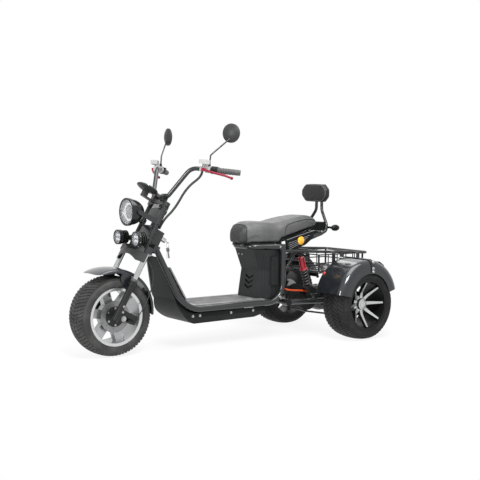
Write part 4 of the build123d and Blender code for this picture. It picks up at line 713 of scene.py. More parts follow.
# The sidewall's course: share of the way down to the bead, and of the half width
SIDEWALL = (
    (0.05, 0.912), (0.14, 0.95), (0.21, 0.962), (0.225, 0.976), (0.27, 0.982), (0.45, 0.998),
    (0.6, 1), (0.75, 0.985), (0.86, 0.955), (0.9, 0.955), (0.94, 0.93),
)


def crown(outer, half, y):
    """Radius of the tread face at y from the tyre's middle."""
    return outer - CROWN_DROP * (abs(y) / half) ** 2.6


def lug(bm, outer, half, span, width, sweep, start):
    """One tread block across span, width long round the tyre, swept back as it runs outwards."""
    rows = []
    for i in range(LUG_STEPS + 1):
        y = span[0] + (span[1] - span[0]) * i / LUG_STEPS
        radius = crown(outer, half, y)
        lead = start + sweep * abs(y)
        edges = (
            (lead, TREAD_DEPTH),
            (lead + LUG_CHAMFER, 0),
            (lead + width - LUG_CHAMFER, 0),
            (lead + width, TREAD_DEPTH),
        )
        row = []
        for arc, drop in edges:
            angle = arc / outer
            reach = radius - drop
            row.append(bm.verts.new((reach * math.sin(angle), y, reach * math.cos(angle))))
        rows.append(row)
    for inner, outer_row in zip(rows, rows[1:]):
        for k in range(3):
            bm.faces.new((inner[k], inner[k + 1], outer_row[k + 1], outer_row[k]))
    bm.faces.new(rows[0])
    bm.faces.new(rows[-1])


def carcass(outer, width, rim_width):
    """Half section of a tyre from the crown to the bead, as (radius, distance from the middle)."""
    half = width / 2
    shoulder = half * SHOULDER
    points = []
    for i in range(CROWN_STEPS + 1):
        y = shoulder * i / CROWN_STEPS
        points.append((crown(outer, shoulder, y) - TREAD_DEPTH, y))
    edge = points[-1][0]
    rise = edge - BEAD_R
    points += [(edge - rise * drop, half * share) for drop, share in SIDEWALL]
    return points + [(BEAD_R, rim_width / 2 + 0.001), (BEAD_R - 0.012, rim_width / 2 - 0.008)]


def tyre(name, rim_width, pitches, lugs, body, finish):
    """A carcass with its tread blocks, in place of the plain tyre."""
    low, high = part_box(name)
    centre = (low + high) / 2
    outer = (high.z - low.z) / 2
    width = high.y - low.y
    bm = bmesh.new()
    half = carcass(outer, width, rim_width)
    section = [(r, -y) for r, y in reversed(half)] + half[1:]
    section.append(section[0])
    turned(bm, section, along(centre, (0, 1, 0)), 96)
    rubber = skin(name + "_carcass", bm, 50)
    bm = bmesh.new()
    shoulder = width / 2 * SHOULDER
    for inner, end, length, sweep, start, stagger in lugs:
        for side in both_sides:
            lag = stagger if side < 0 else 0
            lug(bm, outer, shoulder, (side * inner, side * end), length, sweep, start + lag)
    pitch = skin(name + "_pitch", bm, 20)
    tread = tread_ring.run(pitch, {"Pitches": pitches, "Finish": finish.material})
    tread.transform(Matrix.Translation(centre))
    bm = bmesh.new()
    bm.from_mesh(rubber)
    bm.from_mesh(tread)
    whole = bpy.data.meshes.new(name)
    bm.to_mesh(whole)
    bm.free()
    piece(name.replace("tyre", "tread"), whole, finish, body, "tyre_rubber", name)


FRONT_PITCHES = 66
# Inner end, outer end, length round the tyre, sweep, start and stagger of each block
FRONT_LUGS = ((0.003, 0.030, 0.0155, -0.42, 0.0, 0.0), (0.034, 0.0795, 0.0150, -0.42, 0.004, 0.0))
REAR_PITCHES = 52
REAR_LUGS = ((0.004, 0.045, 0.020, 0.7, 0.0, 0.012), (0.050, 0.092, 0.018, 0.7, 0.008, 0.012))
FRONT_RIM_WIDTH = 0.156
REAR_RIM_WIDTH = 0.196
tyre("front_tyre", FRONT_RIM_WIDTH, FRONT_PITCHES, FRONT_LUGS, "front_wheel", lit_front_rubber)
for side in ("left", "right"):
    tyre("rear_tyre_" + side, REAR_RIM_WIDTH, REAR_PITCHES, REAR_LUGS, "rear_wheel_" + side, tyre_rubber)

# Fenders: thin pressed shells painted dark pearl grey under clear lacquer, on straps from the rack and
# tabs on the fork legs. Small markers and reflectors are stuck on the rear ones.
pearl = Finish("Dark pearl lacquer")
flake = pearl.cells(2600)
drift = pearl.grain(4, 4)
aside = pearl.part(pearl.place(), "Y")
# Painted shade: the faces towards the frame are painted matt black for the shade between fender and
# frame.
inward = pearl.facing("Y") * aside.math("SIGN", aside) * -1
inner_face_shade = inward.step(0.5, 0.7) * aside.size().step(0.2, 0.22)
lacquer = pearl.tint(flake.step(0.1, 0.6), shade(0.02, 0.023, 0.028), shade(0.01, 0.0115, 0.014))
pearl.surface(
    (inner_face_shade, lacquer, shade(0.005)),
    0.3 + drift * 0.08 + inner_face_shade * 0.3,
    (pearl.grain(160, 2), 0.0002, 0.06),
    {
        "Metallic": (1 - inner_face_shade) * 0.3,
        "Specular IOR Level": 0.2,
        "Coat Weight": (1 - inner_face_shade) * 0.9,
        "Coat Roughness": 0.05,
    },
)
dress(pearl, "front_fender", "rear_fender_left", "rear_fender_right")

# Distance to the side and height of the bolts that hold each strap
STRAP_BOLTS = ((0.4915, 0.492), (0.4943, 0.452), (0.4943, 0.432))
rows = []
for side in both_sides:
    for y, z in STRAP_BOLTS:
        rows.append((station(-0.010, side * y, z), Vector((0, side, 0)), 0.0062))
bolts("strap_bolts", rows, "chassis")


def slab(bm, place, size, bevel):
    """A block with rounded edges at a place, its Z along the place's Z."""
    made = bmesh.ops.create_cube(bm, size=1.0, matrix=place @ Matrix.Diagonal((*size, 1)))
    edges = list({edge for vert in made["verts"] for edge in vert.link_edges})
    bmesh.ops.bevel(bm, geom=edges, offset=bevel, segments=3, profile=0.5, affect="EDGES")


FENDER_R = 0.252
FENDER_Z = 0.251
MARKER_TURN = math.radians(122)
REFLECTOR_TURN = math.radians(40)
REFLECTOR = ((0, 0), (0.011, 0), (0.011, 0.004), (0.009, 0.0055), (0, 0.006))
bm = bmesh.new()
for side in both_sides:
    radial = Vector((math.cos(MARKER_TURN), 0, math.sin(MARKER_TURN)))
    middle = station(0, side * 0.425, FENDER_Z) + radial * (FENDER_R + 0.0058)
    slab(bm, along(middle, radial), (0.040, 0.052, 0.011), 0.004)
shaped("fender_markers", bm, moulded, "chassis", "black_plastic")
bm = bmesh.new()
for side in both_sides:
    radial = Vector((math.cos(REFLECTOR_TURN), 0, math.sin(REFLECTOR_TURN)))
    middle = station(0, side * 0.268, FENDER_Z) + radial * (FENDER_R + 0.0003)
    turned(bm, REFLECTOR, along(middle, radial), 32)
reflector_mesh = skin("fender_reflectors", bm)

# Fork: chromed stanchions in black lacquered lower legs between two yokes, with rubber dust seals on
# the legs, a nut and two pinch bolts at each end of the axle and cover plates behind the lamps.
chrome = Finish("Bright chrome")
wipe = chrome.grain(35, 5)
chrome.surface(
    (wipe, shade(0.42, 0.43, 0.44), shade(0.6, 0.61, 0.62)),
    0.05 + wipe.step(0.5, 0.8) * 0.1,
    (chrome.grain(25, 2), 0.0002, 0.05),
    {"Metallic": 1.0, "Specular Tint": shade(0.3)},
)
dress(chrome, "stanchions", "ignition_lock")

leg_lacquer = Finish("Black leg lacquer")
leg_wear = leg_lacquer.grain(30, 4)
leg_lacquer.surface(
    (leg_wear, shade(0.006, 0.0064, 0.0068), shade(0.013, 0.0132, 0.0134)),
    0.14 + leg_wear * 0.12,
    (leg_lacquer.grain(300, 2), 0.0002, 0.15),
    {"Specular IOR Level": 0.34},
)
dress(leg_lacquer, "fork_legs")
# The tail panels' painted highlight strips, in bright chrome.
piece("tail_highlight_strips", tail_highlight_mesh, chrome, "chassis", "bright_chrome")

FORK_RAKE = math.radians(29.5)
fork_frame = Matrix.Translation(FRONT_AXLE) @ Matrix.Rotation(-FORK_RAKE, 4, "Y")


def fork(x, y, z):
    """A point given in the raked frame of the fork, from the front axle."""
    return fork_frame @ Vector((x, y, z))


fork_up = fork(0, 0, 1) - fork(0, 0, 0)
LEG_X, LEG_Y, LEG_TOP = 0.032, 0.128, 0.208
SEAL = ((0.0152, 0), (0.0195, 0), (0.0202, 0.004), (0.0188, 0.012), (0.0158, 0.015), (0.0152, 0.015))
bm = bmesh.new()
for side in both_sides:
    turned(bm, SEAL + SEAL[:1], along(fork(LEG_X, side * LEG_Y, LEG_TOP + 0.0003), fork_up), 40)
seal_mesh = skin("dust_seals", bm)
# Two black cover plates between the fork's upper tubes, which hide the loom behind the lamps
PLATES = ((0.428, 0.556), (0.598, 0.668))
bm = bmesh.new()
for foot, top in PLATES:
    middle = fork(0.036, 0, (foot + top) / 2)
    slab(bm, along(middle, fork_up), (0.131, 0.004, top - foot), 0.0012)
shaped("fork_plates", bm, black_coat, "steering", "black_paint")
# Place on the left leg and half width of the axle's nut and its two pinch bolts
AXLE_BOLTS = ((0, 0.1512, 0, 0.0105), (0.020, 0.1472, 0.030, 0.0045), (0.030, 0.1472, 0.060, 0.0045))
rows = []
for side in both_sides:
    for x, y, z, half in AXLE_BOLTS:
        rows.append((fork(x, side * y, z), Vector((0, side, 0)), half))
bolts("axle_bolts", rows, "steering")

# Controls: knurled rubber grips, dark red anodised levers on silver clamps, and the brake hose and the
# loom in black sheath, which ride with the steering.
soft_rubber = Finish("Grip rubber")
knurl = soft_rubber.cells(260, "DISTANCE_TO_EDGE")
soft_rubber.surface(
    (soft_rubber.grain(30), shade(0.036), shade(0.056)),
    0.46 + soft_rubber.grain(80) * 0.2,
    (knurl.step(0.0, 0.2), 0.0003, 0.08),
)
dress(soft_rubber, "grips")
piece("dust_seals", seal_mesh, soft_rubber, "steering", "soft_rubber")

hose_sheath = Finish("Braided hose sheath")
braid = hose_sheath.cells(420)
hose_sheath.surface(
    (braid.step(0.1, 0.6), shade(0.03), shade(0.012)),
    0.42 + hose_sheath.grain(90) * 0.2,
    (braid, 0.0008, 0.5),
)
CALIPER_OUT = 0.098
HOSE = (
    (-0.096, CALIPER_OUT + 0.0008, 0.030),
    (-0.097, CALIPER_OUT + 0.018, 0.032),
    (-0.106, CALIPER_OUT + 0.020, 0.120),
    (-0.104, CALIPER_OUT + 0.016, 0.220),
    (-0.080, CALIPER_OUT + 0.014, 0.300),
    (-0.024, CALIPER_OUT + 0.006, 0.350),
    (0.008, CALIPER_OUT - 0.008, 0.380),
)
places = [fork(*place) for place in HOSE]
hung("front_brake_hose", places, 0.006, hose_sheath, "steering", "soft_rubber", "hanging", 0.40,
     "brake_hose")
BAR_BEND = Vector((1.150, 0.181, 1.055))
LOOM_STEPS = (
    (-0.044, 0.045, -0.019),
    (-0.044, 0.045, -0.046),
    (0.024, -0.006, -0.110),
    (0.071, -0.056, -0.233),
    (0.124, -0.098, -0.300),
)
NECK = fork(-0.010, 0.056, 0.560)
places = [station(*(BAR_BEND + Vector(step))) for step in LOOM_STEPS] + [NECK]
hung("bar_loom", places, 0.014, hose_sheath, "steering", "soft_rubber", "hanging", 0.415, "wiring_loom")

# Mirror glass: a flat silvered disc in the back of each head, facing the rider.
# Each mirror's place from the rear axle and its yaw in degrees
MIRRORS = ((1.000, 0.352, 1.251, 24), (0.968, -0.352, 1.251, -9))
GLASS = ((0, 0), (0.0495, 0), (0.0495, 0.001), (0.0485, 0.0016), (0, 0.0016))
bm = bmesh.new()
for x, y, z, yaw in MIRRORS:
    behind = -Vector((math.cos(math.radians(yaw)), math.sin(math.radians(yaw)), 0))
    turned(bm, GLASS, along(station(x, y, z) + behind * 0.0081, behind), 64)
shaped("mirror_glass", bm, chrome, "steering", "bright_chrome")

# Instrument: a smoked round window in the top of the pod, with a bright bezel.
screen = Finish("Smoked window")
screen.surface(
    (screen.grain(20), shade(0.008, 0.009, 0.011), shade(0.014, 0.016, 0.018)),
    0.06 + screen.grain(90).step(0.55, 0.8) * 0.06,
    (screen.grain(40), 0.0001, 0.05),
    {"Coat Weight": 1.0, "Coat Roughness": 0.02},
)
pod_top = along(fork(0.144, 0, 0.7433), fork_up)
WINDOW = ((0, 0), (0.050, 0), (0.050, 0.0008), (0.047, 0.0016), (0, 0.002))
BEZEL = ((0.0502, 0), (0.057, 0), (0.0565, 0.0022), (0.0535, 0.003), (0.0505, 0.002), (0.0502, 0))
bm = bmesh.new()
turned(bm, WINDOW, pod_top, 64)
shaped("display_window", bm, screen, "steering", "black_plastic")
bm = bmesh.new()
turned(bm, BEZEL, pod_top, 64)
shaped("display_bezel", bm, chrome, "steering", "bright_chrome")

# Keys: one in the lock behind the neck, with a ring and a second key that hang from it.
bm = bmesh.new()
lock_out = -(fork(1, 0, 0) - fork(0, 0, 0))
key_root = fork(-0.112, 0, 0.530) + lock_out * 0.0005
key_turn = Matrix.Rotation(math.radians(90), 4, "Z")
slab(bm, along(key_root + lock_out * 0.014, lock_out) @ key_turn, (0.003, 0.020, 0.026), 0.0012)
RING_RADIUS = 0.013
RING_STEPS = 28
ring_centre = key_root + lock_out * 0.020 + Vector((0, 0, -0.017))
ring = []
for i in range(RING_STEPS):
    angle = math.tau * i / RING_STEPS
    ring.append(ring_centre + Vector((0, RING_RADIUS * math.sin(angle), RING_RADIUS * math.cos(angle))))
wound(bm, ring, 0.0011, 8, True)
# How far each key on the ring leans and half the length of its blade
for lean, drop in ((0.12, 0.020), (-0.16, 0.022)):
    hang = Vector((-0.1, lean, -1)).normalized()
    top = ring_centre + Vector((0, lean * 0.02, -0.013))
    slab(bm, along(top + hang * 0.011, hang), (0.0028, 0.020, 0.022), 0.0012)
    slab(bm, along(top + hang * (0.022 + drop), hang), (0.0022, 0.008, 2 * drop), 0.0008)
shaped("keys", bm, zinc, "chassis", "bright_chrome")

clamp_cast = Finish("Silver painted clamp")
clamp_grit = clamp_cast.grain(500, 3)
clamp_cast.surface(
    (clamp_grit, shade(0.26, 0.26, 0.255), shade(0.36, 0.36, 0.355)),
    0.38 + clamp_grit * 0.12,
    (clamp_grit, 0.0002, 0.06),
    {"Specular IOR Level": 0.3},
)
dress(clamp_cast, "brake_masters")

anodised = Finish("Red anodised alloy")
brushed = anodised.grain(700, 2, anodised.place((1, 9, 9)))
anodised.surface(
    (brushed, shade(0.15, 0.001, 0.014), shade(0.2, 0.002, 0.02)),
    0.3 + brushed * 0.15,
    (brushed, 0.0002, 0.2),
    {"Metallic": 0.1, "Specular IOR Level": 0.25},
)
dress(anodised, "brake_levers")

# Lamps: a round headlamp in a black shell with a ring of light round its projector, two spot lamps with
# four diodes each, tail lamp, signals and reflectors.
clear = Finish("Clear lens")
clear.surface(
    shade(0.97, 0.98, 1.0),
    0.02 + clear.grain(60).step(0.6, 0.9) * 0.05,
    (clear.grain(30, 2), 0.0001, 0.05),
    {"Alpha": 0.12 + clear.grain(60).step(0.6, 0.9) * 0.04},
)
dress(clear, "lamp_lenses")
dress(leg_lacquer, "headlamp_shell")

dish = Finish("Vapour coated dish")
dish_cloud = dish.grain(40, 3)
dish.surface(
    (dish_cloud, shade(0.085, 0.087, 0.089), shade(0.13, 0.133, 0.136)),
    0.22 + dish_cloud * 0.12,
    (dish.grain(60, 2), 0.0006, 0.1),
    {"Metallic": 1.0},
)
dress(dish, "headlamp_reflector")

led = Finish("White light ring")
diode = led.cells(500)
led.surface(
    (diode.step(0.1, 0.5), shade(0.6), shade(0.42, 0.44, 0.46)),
    0.25 + diode * 0.2,
    (diode, 0.0004, 0.3),
    {"Emission Color": shade(0.9, 0.95, 1.0), "Emission Strength": 0.1},
)
LAMP = station(1.462, 0, 0.803)
ahead = Vector((1, 0, 0))
LIGHT_RING = ((0.040, 0), (0.052, 0), (0.053, 0.004), (0.050, 0.008), (0.043, 0.008), (0.040, 0.004))
bm = bmesh.new()
turned(bm, LIGHT_RING + LIGHT_RING[:1], along(LAMP + ahead * -0.020, ahead), 64)
SPOT = (1.467, 0.100, 0.656)
SPOT_LEDS = 4
LED = ((0, 0), (0.010, 0), (0.0105, 0.002), (0.007, 0.006), (0, 0.0075))
LED_CIRCLE = 0.016
for side in both_sides:
    middle = station(SPOT[0], side * SPOT[1], SPOT[2])
    for i in range(SPOT_LEDS):
        angle = math.tau * (i + 0.5) / SPOT_LEDS
        offset = Vector((-0.012, LED_CIRCLE * math.cos(angle), LED_CIRCLE * math.sin(angle)))
        turned(bm, LED, along(middle + offset, ahead), 24)
shaped("lamp_leds", bm, led, "steering", "clear_lens")
SPOT_STUDS = 8
STUD_CIRCLE = 0.0412
rows = []
for side in both_sides:
    middle = station(SPOT[0], side * SPOT[1], SPOT[2])
    for i in range(SPOT_STUDS):
        angle = math.tau * (i + 0.5) / SPOT_STUDS
        out = Vector((0, math.cos(angle), math.sin(angle)))
        rows.append((middle + out * STUD_CIRCLE + ahead * -0.012, out, 0.0030))
bolts("spot_studs", rows, "steering")
PROJECTOR = ((0, 0), (0.036, 0), (0.036, 0.006), (0.030, 0.012), (0.018, 0.024), (0, 0.030))
bm = bmesh.new()
turned(bm, PROJECTOR, along(LAMP + ahead * -0.040, ahead), 48)
shaped("lamp_projector", bm, screen, "steering", "black_plastic")

# Painted glow: the amber lens emits a little, standing in for light that the side reflectors send back.
amber = Finish("Amber lens")
prism = amber.cells(240)
amber.surface(
    (prism.step(0.1, 0.5), shade(0.9, 0.5, 0.008), shade(0.7, 0.3, 0.004)),
    0.1 + prism * 0.1,
    (prism, 0.0008, 0.5),
    {
        "Coat Weight": 1.0,
        "Coat Roughness": 0.02,
        "Emission Color": shade(1.0, 0.6, 0.02),
        "Emission Strength": 0.12,
    },
)
dress(amber, "side_reflectors")
SIGNAL_FACE = ((0.0115, 0.0277), (0.0136, 0.0277), (0.0130, 0.0300), (0.007, 0.0345), (0, 0.0358))
SIGNAL_BACK = ((0, 0.0345), (0.0115, 0.0285))
bm = bmesh.new()
for side in both_sides:
    turned(bm, SIGNAL_FACE + SIGNAL_BACK, along(station(-0.004, side * 0.146, 0.688), (-1, 0, 0)), 40)
shaped("signal_lenses", bm, amber, "chassis", "amber_lens")

red_lens = Finish("Red lens")
facet = red_lens.cells(220)
red_lens.surface(
    (facet.step(0.1, 0.5), shade(0.6, 0.012, 0.012), shade(0.35, 0.004, 0.004)),
    0.1 + facet * 0.1,
    (facet, 0.0008, 0.5),
    {"Coat Weight": 1.0, "Coat Roughness": 0.02},
)
piece("fender_reflectors", reflector_mesh, red_lens, "chassis", "red_lens")
bm = bmesh.new()
slab(bm, Matrix.Translation(station(-0.0085, 0, 0.697)), (0.006, 0.1026, 0.0290), 0.002)
shaped("tail_lens", bm, red_lens, "chassis", "red_lens")

# Seat: a foam seat on a hinged pan under grained vinyl, with a raised pillion part behind the rider's.
# The cover is cut in panels: a seam crosses the nose, and piping runs round the pillion.
NOSE_SEAM_X = 0.668
NOSE_SEAM_Z = 0.655
NOSE_SEAM_LEAN = 0.12
vinyl = Finish("Grey seat vinyl")
hide = vinyl.cells(420, "DISTANCE_TO_EDGE")
pore = vinyl.grain(1200, 2)
handled = vinyl.grain(7, 5)
spot = vinyl.place(shift=(-NOSE_SEAM_X - REAR_AXLE_X, 0, -NOSE_SEAM_Z))
past_seam, above = (vinyl.part(spot, axis) for axis in "XZ")
nose_panel = (past_seam + above.size() * NOSE_SEAM_LEAN).step(-0.0008, 0.0008)
hide_tone = vinyl.tint(handled.step(0.3, 0.75), shade(0.062, 0.0625, 0.063), shade(0.088, 0.088, 0.0875))
vinyl.surface(
    (nose_panel * 0.9, hide_tone, shade(0.014, 0.0142, 0.0145)),
    0.42 + handled * 0.16,
    (hide.step(0.0, 0.12), 0.0005, 0.3, vinyl.raised(pore, 0.0002, 0.2)),
    {"Specular IOR Level": 0.4},
)

# Distance from the rear axle, half width, lower and upper height of the seat's sections
SEAT_SECTIONS = [
    (0.7035, 0.040, 0.6080, 0.660),
    (0.697, 0.056, 0.6062, 0.678),
    (0.684, 0.070, 0.6058, 0.697),
    (0.660, 0.084, 0.6058, 0.714),
    (0.620, 0.107, 0.6058, 0.727),
    (0.580, 0.127, 0.6058, 0.730),
    (0.540, 0.139, 0.6058, 0.730),
    (0.500, 0.146, 0.6058, 0.727),
    (0.470, 0.149, 0.6060, 0.723),
    (0.456, 0.149, 0.6066, 0.722),
    (0.438, 0.148, 0.6330, 0.724),
    (0.400, 0.144, 0.6400, 0.733),
    (0.340, 0.136, 0.6526, 0.746),
    (0.280, 0.127, 0.6652, 0.756),
    (0.200, 0.115, 0.6820, 0.765),
    (0.150, 0.107, 0.6926, 0.762),
    (0.122, 0.100, 0.6986, 0.753),
    (0.104, 0.088, 0.7030, 0.740),
]
RING_POINTS = 40


def section_ring(x, half, low, high):
    """One section of the seat: crowned on top, full at the flanks, flat where it lies on its pan."""
    waist = low + (high - low) * 0.36
    ring = []
    for i in range(RING_POINTS):
        angle = math.tau * i / RING_POINTS
        c, s = math.cos(angle), math.sin(angle)
        power = 0.62 if s > 0 else 0.3
        reach = (high - waist) if s > 0 else (waist - low)
        y = half * math.copysign(abs(c) ** (0.52 if s > 0 else 0.2), c)
        ring.append(Vector((x + REAR_AXLE_X, y, waist + reach * math.copysign(abs(s) ** power, s))))
    return ring


def lofted(bm, rings):
    """Skins a row of rings and closes both ends."""
    rows = [[bm.verts.new(p) for p in ring] for ring in rings]
    for first, second in zip(rows, rows[1:]):
        for i in range(len(first)):
            j = (i + 1) % len(first)
            bm.faces.new((first[i], first[j], second[j], second[i]))
    bm.faces.new(rows[0])
    bm.faces.new(rows[-1])


VOXEL = 0.005
PAD_PRESSURE = 4.0
PAD_FRAMES = 20


def stuffed(name, mesh, most):
    """Foam under a cover: the form is remeshed, blown up as cloth by at most so much, then smoothed."""
    pad = placed(name, mesh)
    bpy.context.view_layer.objects.active = pad
    voxels = pad.modifiers.new("voxels", "REMESH")
    voxels.mode = "VOXEL"
    voxels.voxel_size = VOXEL
    ease = pad.modifiers.new("ease", "SMOOTH")
    ease.iterations = 6
    ease.factor = 0.5
    even = baked(pad)
    pad.modifiers.clear()
    pad.data = even
    rest = [v.co.copy() for v in even.vertices]
    cloth = pad.modifiers.new("cover", "CLOTH")
    cloth.settings.use_pressure = True
    cloth.settings.uniform_pressure_force = PAD_PRESSURE
    cloth.settings.effector_weights.gravity = 0
    cloth.settings.quality = 5
    cloth.settings.tension_stiffness = 30
    cloth.settings.bending_stiffness = 2
    cloth.point_cache.frame_start = 1
    cloth.point_cache.frame_end = PAD_FRAMES
    for step in range(1, PAD_FRAMES + 1):
        bpy.context.scene.frame_set(step)
    blown = baked(pad)
    pad.modifiers.clear()
    bpy.context.scene.frame_set(1)
    for vertex, home in zip(blown.vertices, rest):
        move = vertex.co - home
        if move.length > most:
            vertex.co = home + move.normalized() * most
    pad.data = blown
    finer = pad.modifiers.new("finer", "SUBSURF")
    finer.levels = 1
    finer.render_levels = 1
    made = baked(pad)
    bpy.data.objects.remove(pad)
    made.shade_smooth()
    return made


bm = bmesh.new()
lofted(bm, [section_ring(*row) for row in SEAT_SECTIONS])
seat_mesh = stuffed("seat_form", skin("seat_form", bm), 0.006)
seat_pad = piece("seat_cushion_cover", seat_mesh, vinyl, "seat", "seat_vinyl", "seat_cushion")

# Seams: a welt sewn round the nose, and piping that climbs the pillion's front corner and follows its
# top edge, with a row of stitches beside each.
def target(mesh):
    """The mesh as something that straight lines can meet."""
    return BVHTree.FromPolygons([v.co for v in mesh.vertices], [p.vertices for p in mesh.polygons])


cover = target(seat_mesh)


def on_cover(start, heading):
    """Where a straight line first meets the seat cover."""
    return cover.ray_cast(start, heading.normalized())[0]


WELT_RADIUS = 0.0026
WELT_STEPS = 60
# Where the nose welt starts on the right, and how far round it goes, in degrees
WELT_START, WELT_SWEEP = -32, 244
bm = bmesh.new()
welt = []
for i in range(WELT_STEPS + 1):
    angle = math.radians(WELT_START + WELT_SWEEP * i / WELT_STEPS)
    heading = Vector((-NOSE_SEAM_LEAN * abs(math.sin(angle)), math.cos(angle), math.sin(angle)))
    core = station(NOSE_SEAM_X, 0, NOSE_SEAM_Z)
    welt.append(on_cover(core + heading * 0.4, -heading))
wound(bm, [place for place in welt if place], WELT_RADIUS, 8)
# Station and height of the piping's course, seen from the side
PIPING = (
    (0.414, 0.644), (0.412, 0.668), (0.407, 0.690), (0.396, 0.706), (0.374, 0.717),
    (0.330, 0.727), (0.280, 0.736), (0.220, 0.744), (0.160, 0.743), (0.125, 0.736),
)
PIPING_STEPS = 8
STITCH = 0.0026
stitch_rows = []
for side in both_sides:
    course = []
    for (x0, z0), (x1, z1) in zip(PIPING, PIPING[1:]):
        for i in range(PIPING_STEPS):
            share = i / PIPING_STEPS
            start = station(x0 + (x1 - x0) * share, side * 0.4, z0 + (z1 - z0) * share)
            course.append(on_cover(start, Vector((0, -side, 0))))
    course = [place for place in course if place]
    wound(bm, course, WELT_RADIUS, 8)
    for before, after in zip(course[::2], course[1::2]):
        below = on_cover(before + Vector((0.004, side * 0.3, -0.007)), Vector((0, -side, 0)))
        if below:
            stitch_rows.append((below, (after - before).normalized(), STITCH))
piping_mesh = skin("seat_piping", bm)
core = station(NOSE_SEAM_X - 0.008, 0, NOSE_SEAM_Z)
for before, after in zip(welt[::2], welt[1::2]):
    if before and after:
        outside = before + Vector((-0.007, 0, 0)) + (before - core).normalized() * 0.2
        behind = on_cover(outside, core - before)
        if behind:
            stitch_rows.append((behind, (after - before).normalized(), STITCH))

stitch = Pattern("Stitches", {})
thread = stitch.node("GeometryNodeMeshUVSphere", {}, {"Segments": 8, "Rings": 6, "Radius": 1.0})
thread = stitch.node("GeometryNodeTransform", {}, {"Geometry": thread, "Scale": (0.3, 0.3, 1.0)})
stitch.end_scattered(thread)
stitches = stitch.run(scattered("stitch_places", stitch_rows), {"Finish": vinyl.material})
piece("seat_stitches", stitches, vinyl, "seat", "seat_vinyl")

# Backrest: a small foam pad under a blacker vinyl, bolted to two bent tubes behind the pillion, with
# a welt along both of its edges in the paler seat vinyl, a painted highlight on the pad's edges.
dark_vinyl = Finish("Black backrest vinyl")
rest_hide = dark_vinyl.cells(420, "DISTANCE_TO_EDGE")
dark_vinyl.surface(
    (dark_vinyl.grain(9, 5), shade(0.009), shade(0.015)),
    0.38 + dark_vinyl.grain(14) * 0.16,
    (rest_hide.step(0.0, 0.12), 0.0005, 0.3),
    {"Specular IOR Level": 0.28},
)
piece("seat_piping", piping_mesh, dark_vinyl, "seat", "seat_vinyl")
rest_low, rest_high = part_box("backrest_pad")
rest_mid = (rest_low + rest_high) / 2
REST_CUT = 0.034
REST_EDGE_POINTS = 6
# Distance from the pad's back and how far each section lies inside its outline
REST_SECTIONS = ((0.004, 0.008), (0.010, 0.003), (0.032, 0.003), (0.043, 0.011), (0.047, 0.026))
bm = bmesh.new()
rings = []
for depth, inset in REST_SECTIONS:
    half = rest_high.y - inset
    tall = (rest_high.z - rest_low.z) / 2 - inset
    quarter = [(half, tall - REST_CUT), (half - REST_CUT, tall)]
    corners = quarter + [(-y, z) for y, z in reversed(quarter)]
    corners += [(-y, -z) for y, z in corners]
    ring = []
    for (y0, z0), (y1, z1) in zip(corners, corners[1:] + corners[:1]):
        for i in range(REST_EDGE_POINTS):
            share = i / REST_EDGE_POINTS
            y, z = y0 + (y1 - y0) * share, rest_mid.z + z0 + (z1 - z0) * share
            ring.append(Vector((rest_low.x + depth, y, z)))
    rings.append(ring)
lofted(bm, rings)
rest_mesh = stuffed("backrest_form", skin("backrest_form", bm), 0.005)
rest_pad = piece("backrest_cover", rest_mesh, dark_vinyl, "chassis", "seat_vinyl", "backrest_pad")
rest_cover = target(rest_mesh)
REST_WELTS = (0.012, 0.0405)
REST_WELT_RADIUS = 0.0022
REST_WELT_STEPS = 96
bm = bmesh.new()
for depth in REST_WELTS:
    ring = []
    for i in range(REST_WELT_STEPS):
        angle = math.tau * i / REST_WELT_STEPS
        heading = Vector((0, math.cos(angle), math.sin(angle)))
        core = Vector((rest_low.x + depth, rest_mid.y, rest_mid.z))
        ring.append(rest_cover.ray_cast(core + heading * 0.4, -heading)[0])
    wound(bm, [place for place in ring if place], REST_WELT_RADIUS, 8, True)
# The welts take the paler seat vinyl as a painted highlight along the pad's edges.
shaped("backrest_welts", bm, vinyl, "chassis", "seat_vinyl")

# Studio: a pale floor that fades into a white background, a soft key above the left front, a top light,
# a fill from the front and a rim light from behind, and the camera at the photograph's place.
bpy.context.scene.view_settings.view_transform = "Standard"
bm = bmesh.new()
bmesh.ops.create_grid(bm, x_segments=1, y_segments=1, size=14)
floor_mesh = bpy.data.meshes.new("floor")
bm.to_mesh(floor_mesh)
bm.free()
floor = placed("floor", floor_mesh)

paper = Finish("White studio paper")
lit = paper.node("ShaderNodeBsdfDiffuse", {}, {"Color": shade(0.92)})
glow = paper.node("ShaderNodeEmission", {}, {"Color": shade(1.0), "Strength": 1.0})
away = paper.node("ShaderNodeVectorMath", {"operation": "LENGTH"}, {0: paper.place()}, "Value")
away = away.step(1.0, 2.6)
share = paper.shows_background() * (0.88 + away * 0.12)
mix = paper.node("ShaderNodeMixShader", {}, {0: share, 1: lit, 2: glow})
paper.node("ShaderNodeOutputMaterial", {}, {"Surface": mix})
floor_mesh.materials.append(paper.material)

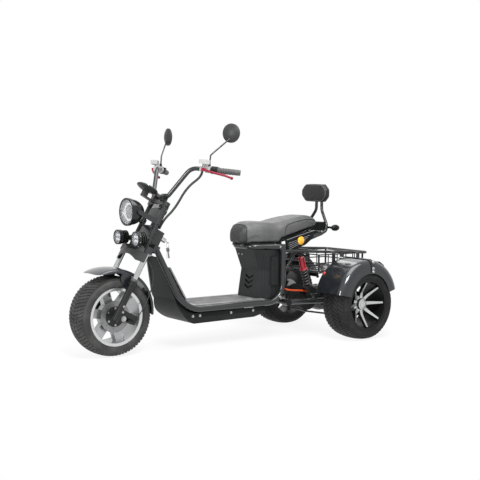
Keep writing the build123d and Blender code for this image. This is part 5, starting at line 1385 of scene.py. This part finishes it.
world = bpy.data.worlds.new("Studio")
world.use_nodes = True
world.node_tree.nodes.clear()
bpy.context.scene.world = world
air = Nodes(world.node_tree)
plain = air.node("ShaderNodeBackground", {}, {"Color": shade(0.93, 0.96, 1.0), "Strength": 0.3})
white = air.node("ShaderNodeBackground", {}, {"Color": shade(1.0), "Strength": 1.0})
sky = air.node("ShaderNodeMixShader", {}, {0: air.shows_background(), 1: plain, 2: white})
air.node("ShaderNodeOutputWorld", {}, {"Surface": sky})

AIM = Vector((0.0, 0.0, 0.55))
# Place, width and power of the soft lights
for label, place, width, power in (
    ("key", (1.2, 2.6, 3.4), 1.3, 165.0),
    ("top", (-0.3, 0.5, 3.4), 2.2, 85.0),
    ("fill", (4.0, 0.9, 1.5), 1.2, 90.0),
    ("rim", (-2.0, -2.65, 2.4), 1.4, 12.0),
):
    lamp = bpy.data.lights.new(label, "AREA")
    lamp.shape = "SQUARE"
    lamp.size = width
    lamp.energy = power
    holder = placed(label, lamp)
    holder.location = place
    holder.rotation_euler = (AIM - Vector(place)).to_track_quat("-Z", "Y").to_euler()

PHOTO_SIZE = 480
FOCAL_PIXELS = 889.232
CAMERA_PLACE = Vector((3.2275, 4.3597, 0.995))
CAMERA_YAW = -2.2229
CAMERA_PITCH = -0.0683
CAMERA_ROLL = 0.0133
lens = bpy.data.cameras.new("photo camera")
lens.sensor_width = 36.0
lens.lens = lens.sensor_width * FOCAL_PIXELS / PHOTO_SIZE
camera = placed("photo_camera", lens)
look = Vector((
    math.cos(CAMERA_PITCH) * math.cos(CAMERA_YAW),
    math.cos(CAMERA_PITCH) * math.sin(CAMERA_YAW),
    math.sin(CAMERA_PITCH),
))
level = look.cross(Vector((0, 0, 1))).normalized()
upright = level.cross(look)
right = level * math.cos(CAMERA_ROLL) + upright * math.sin(CAMERA_ROLL)
up = upright * math.cos(CAMERA_ROLL) - level * math.sin(CAMERA_ROLL)
camera.matrix_world = Matrix.Translation(CAMERA_PLACE) @ Matrix((right, up, -look)).transposed().to_4x4()
bpy.context.scene.camera = camera
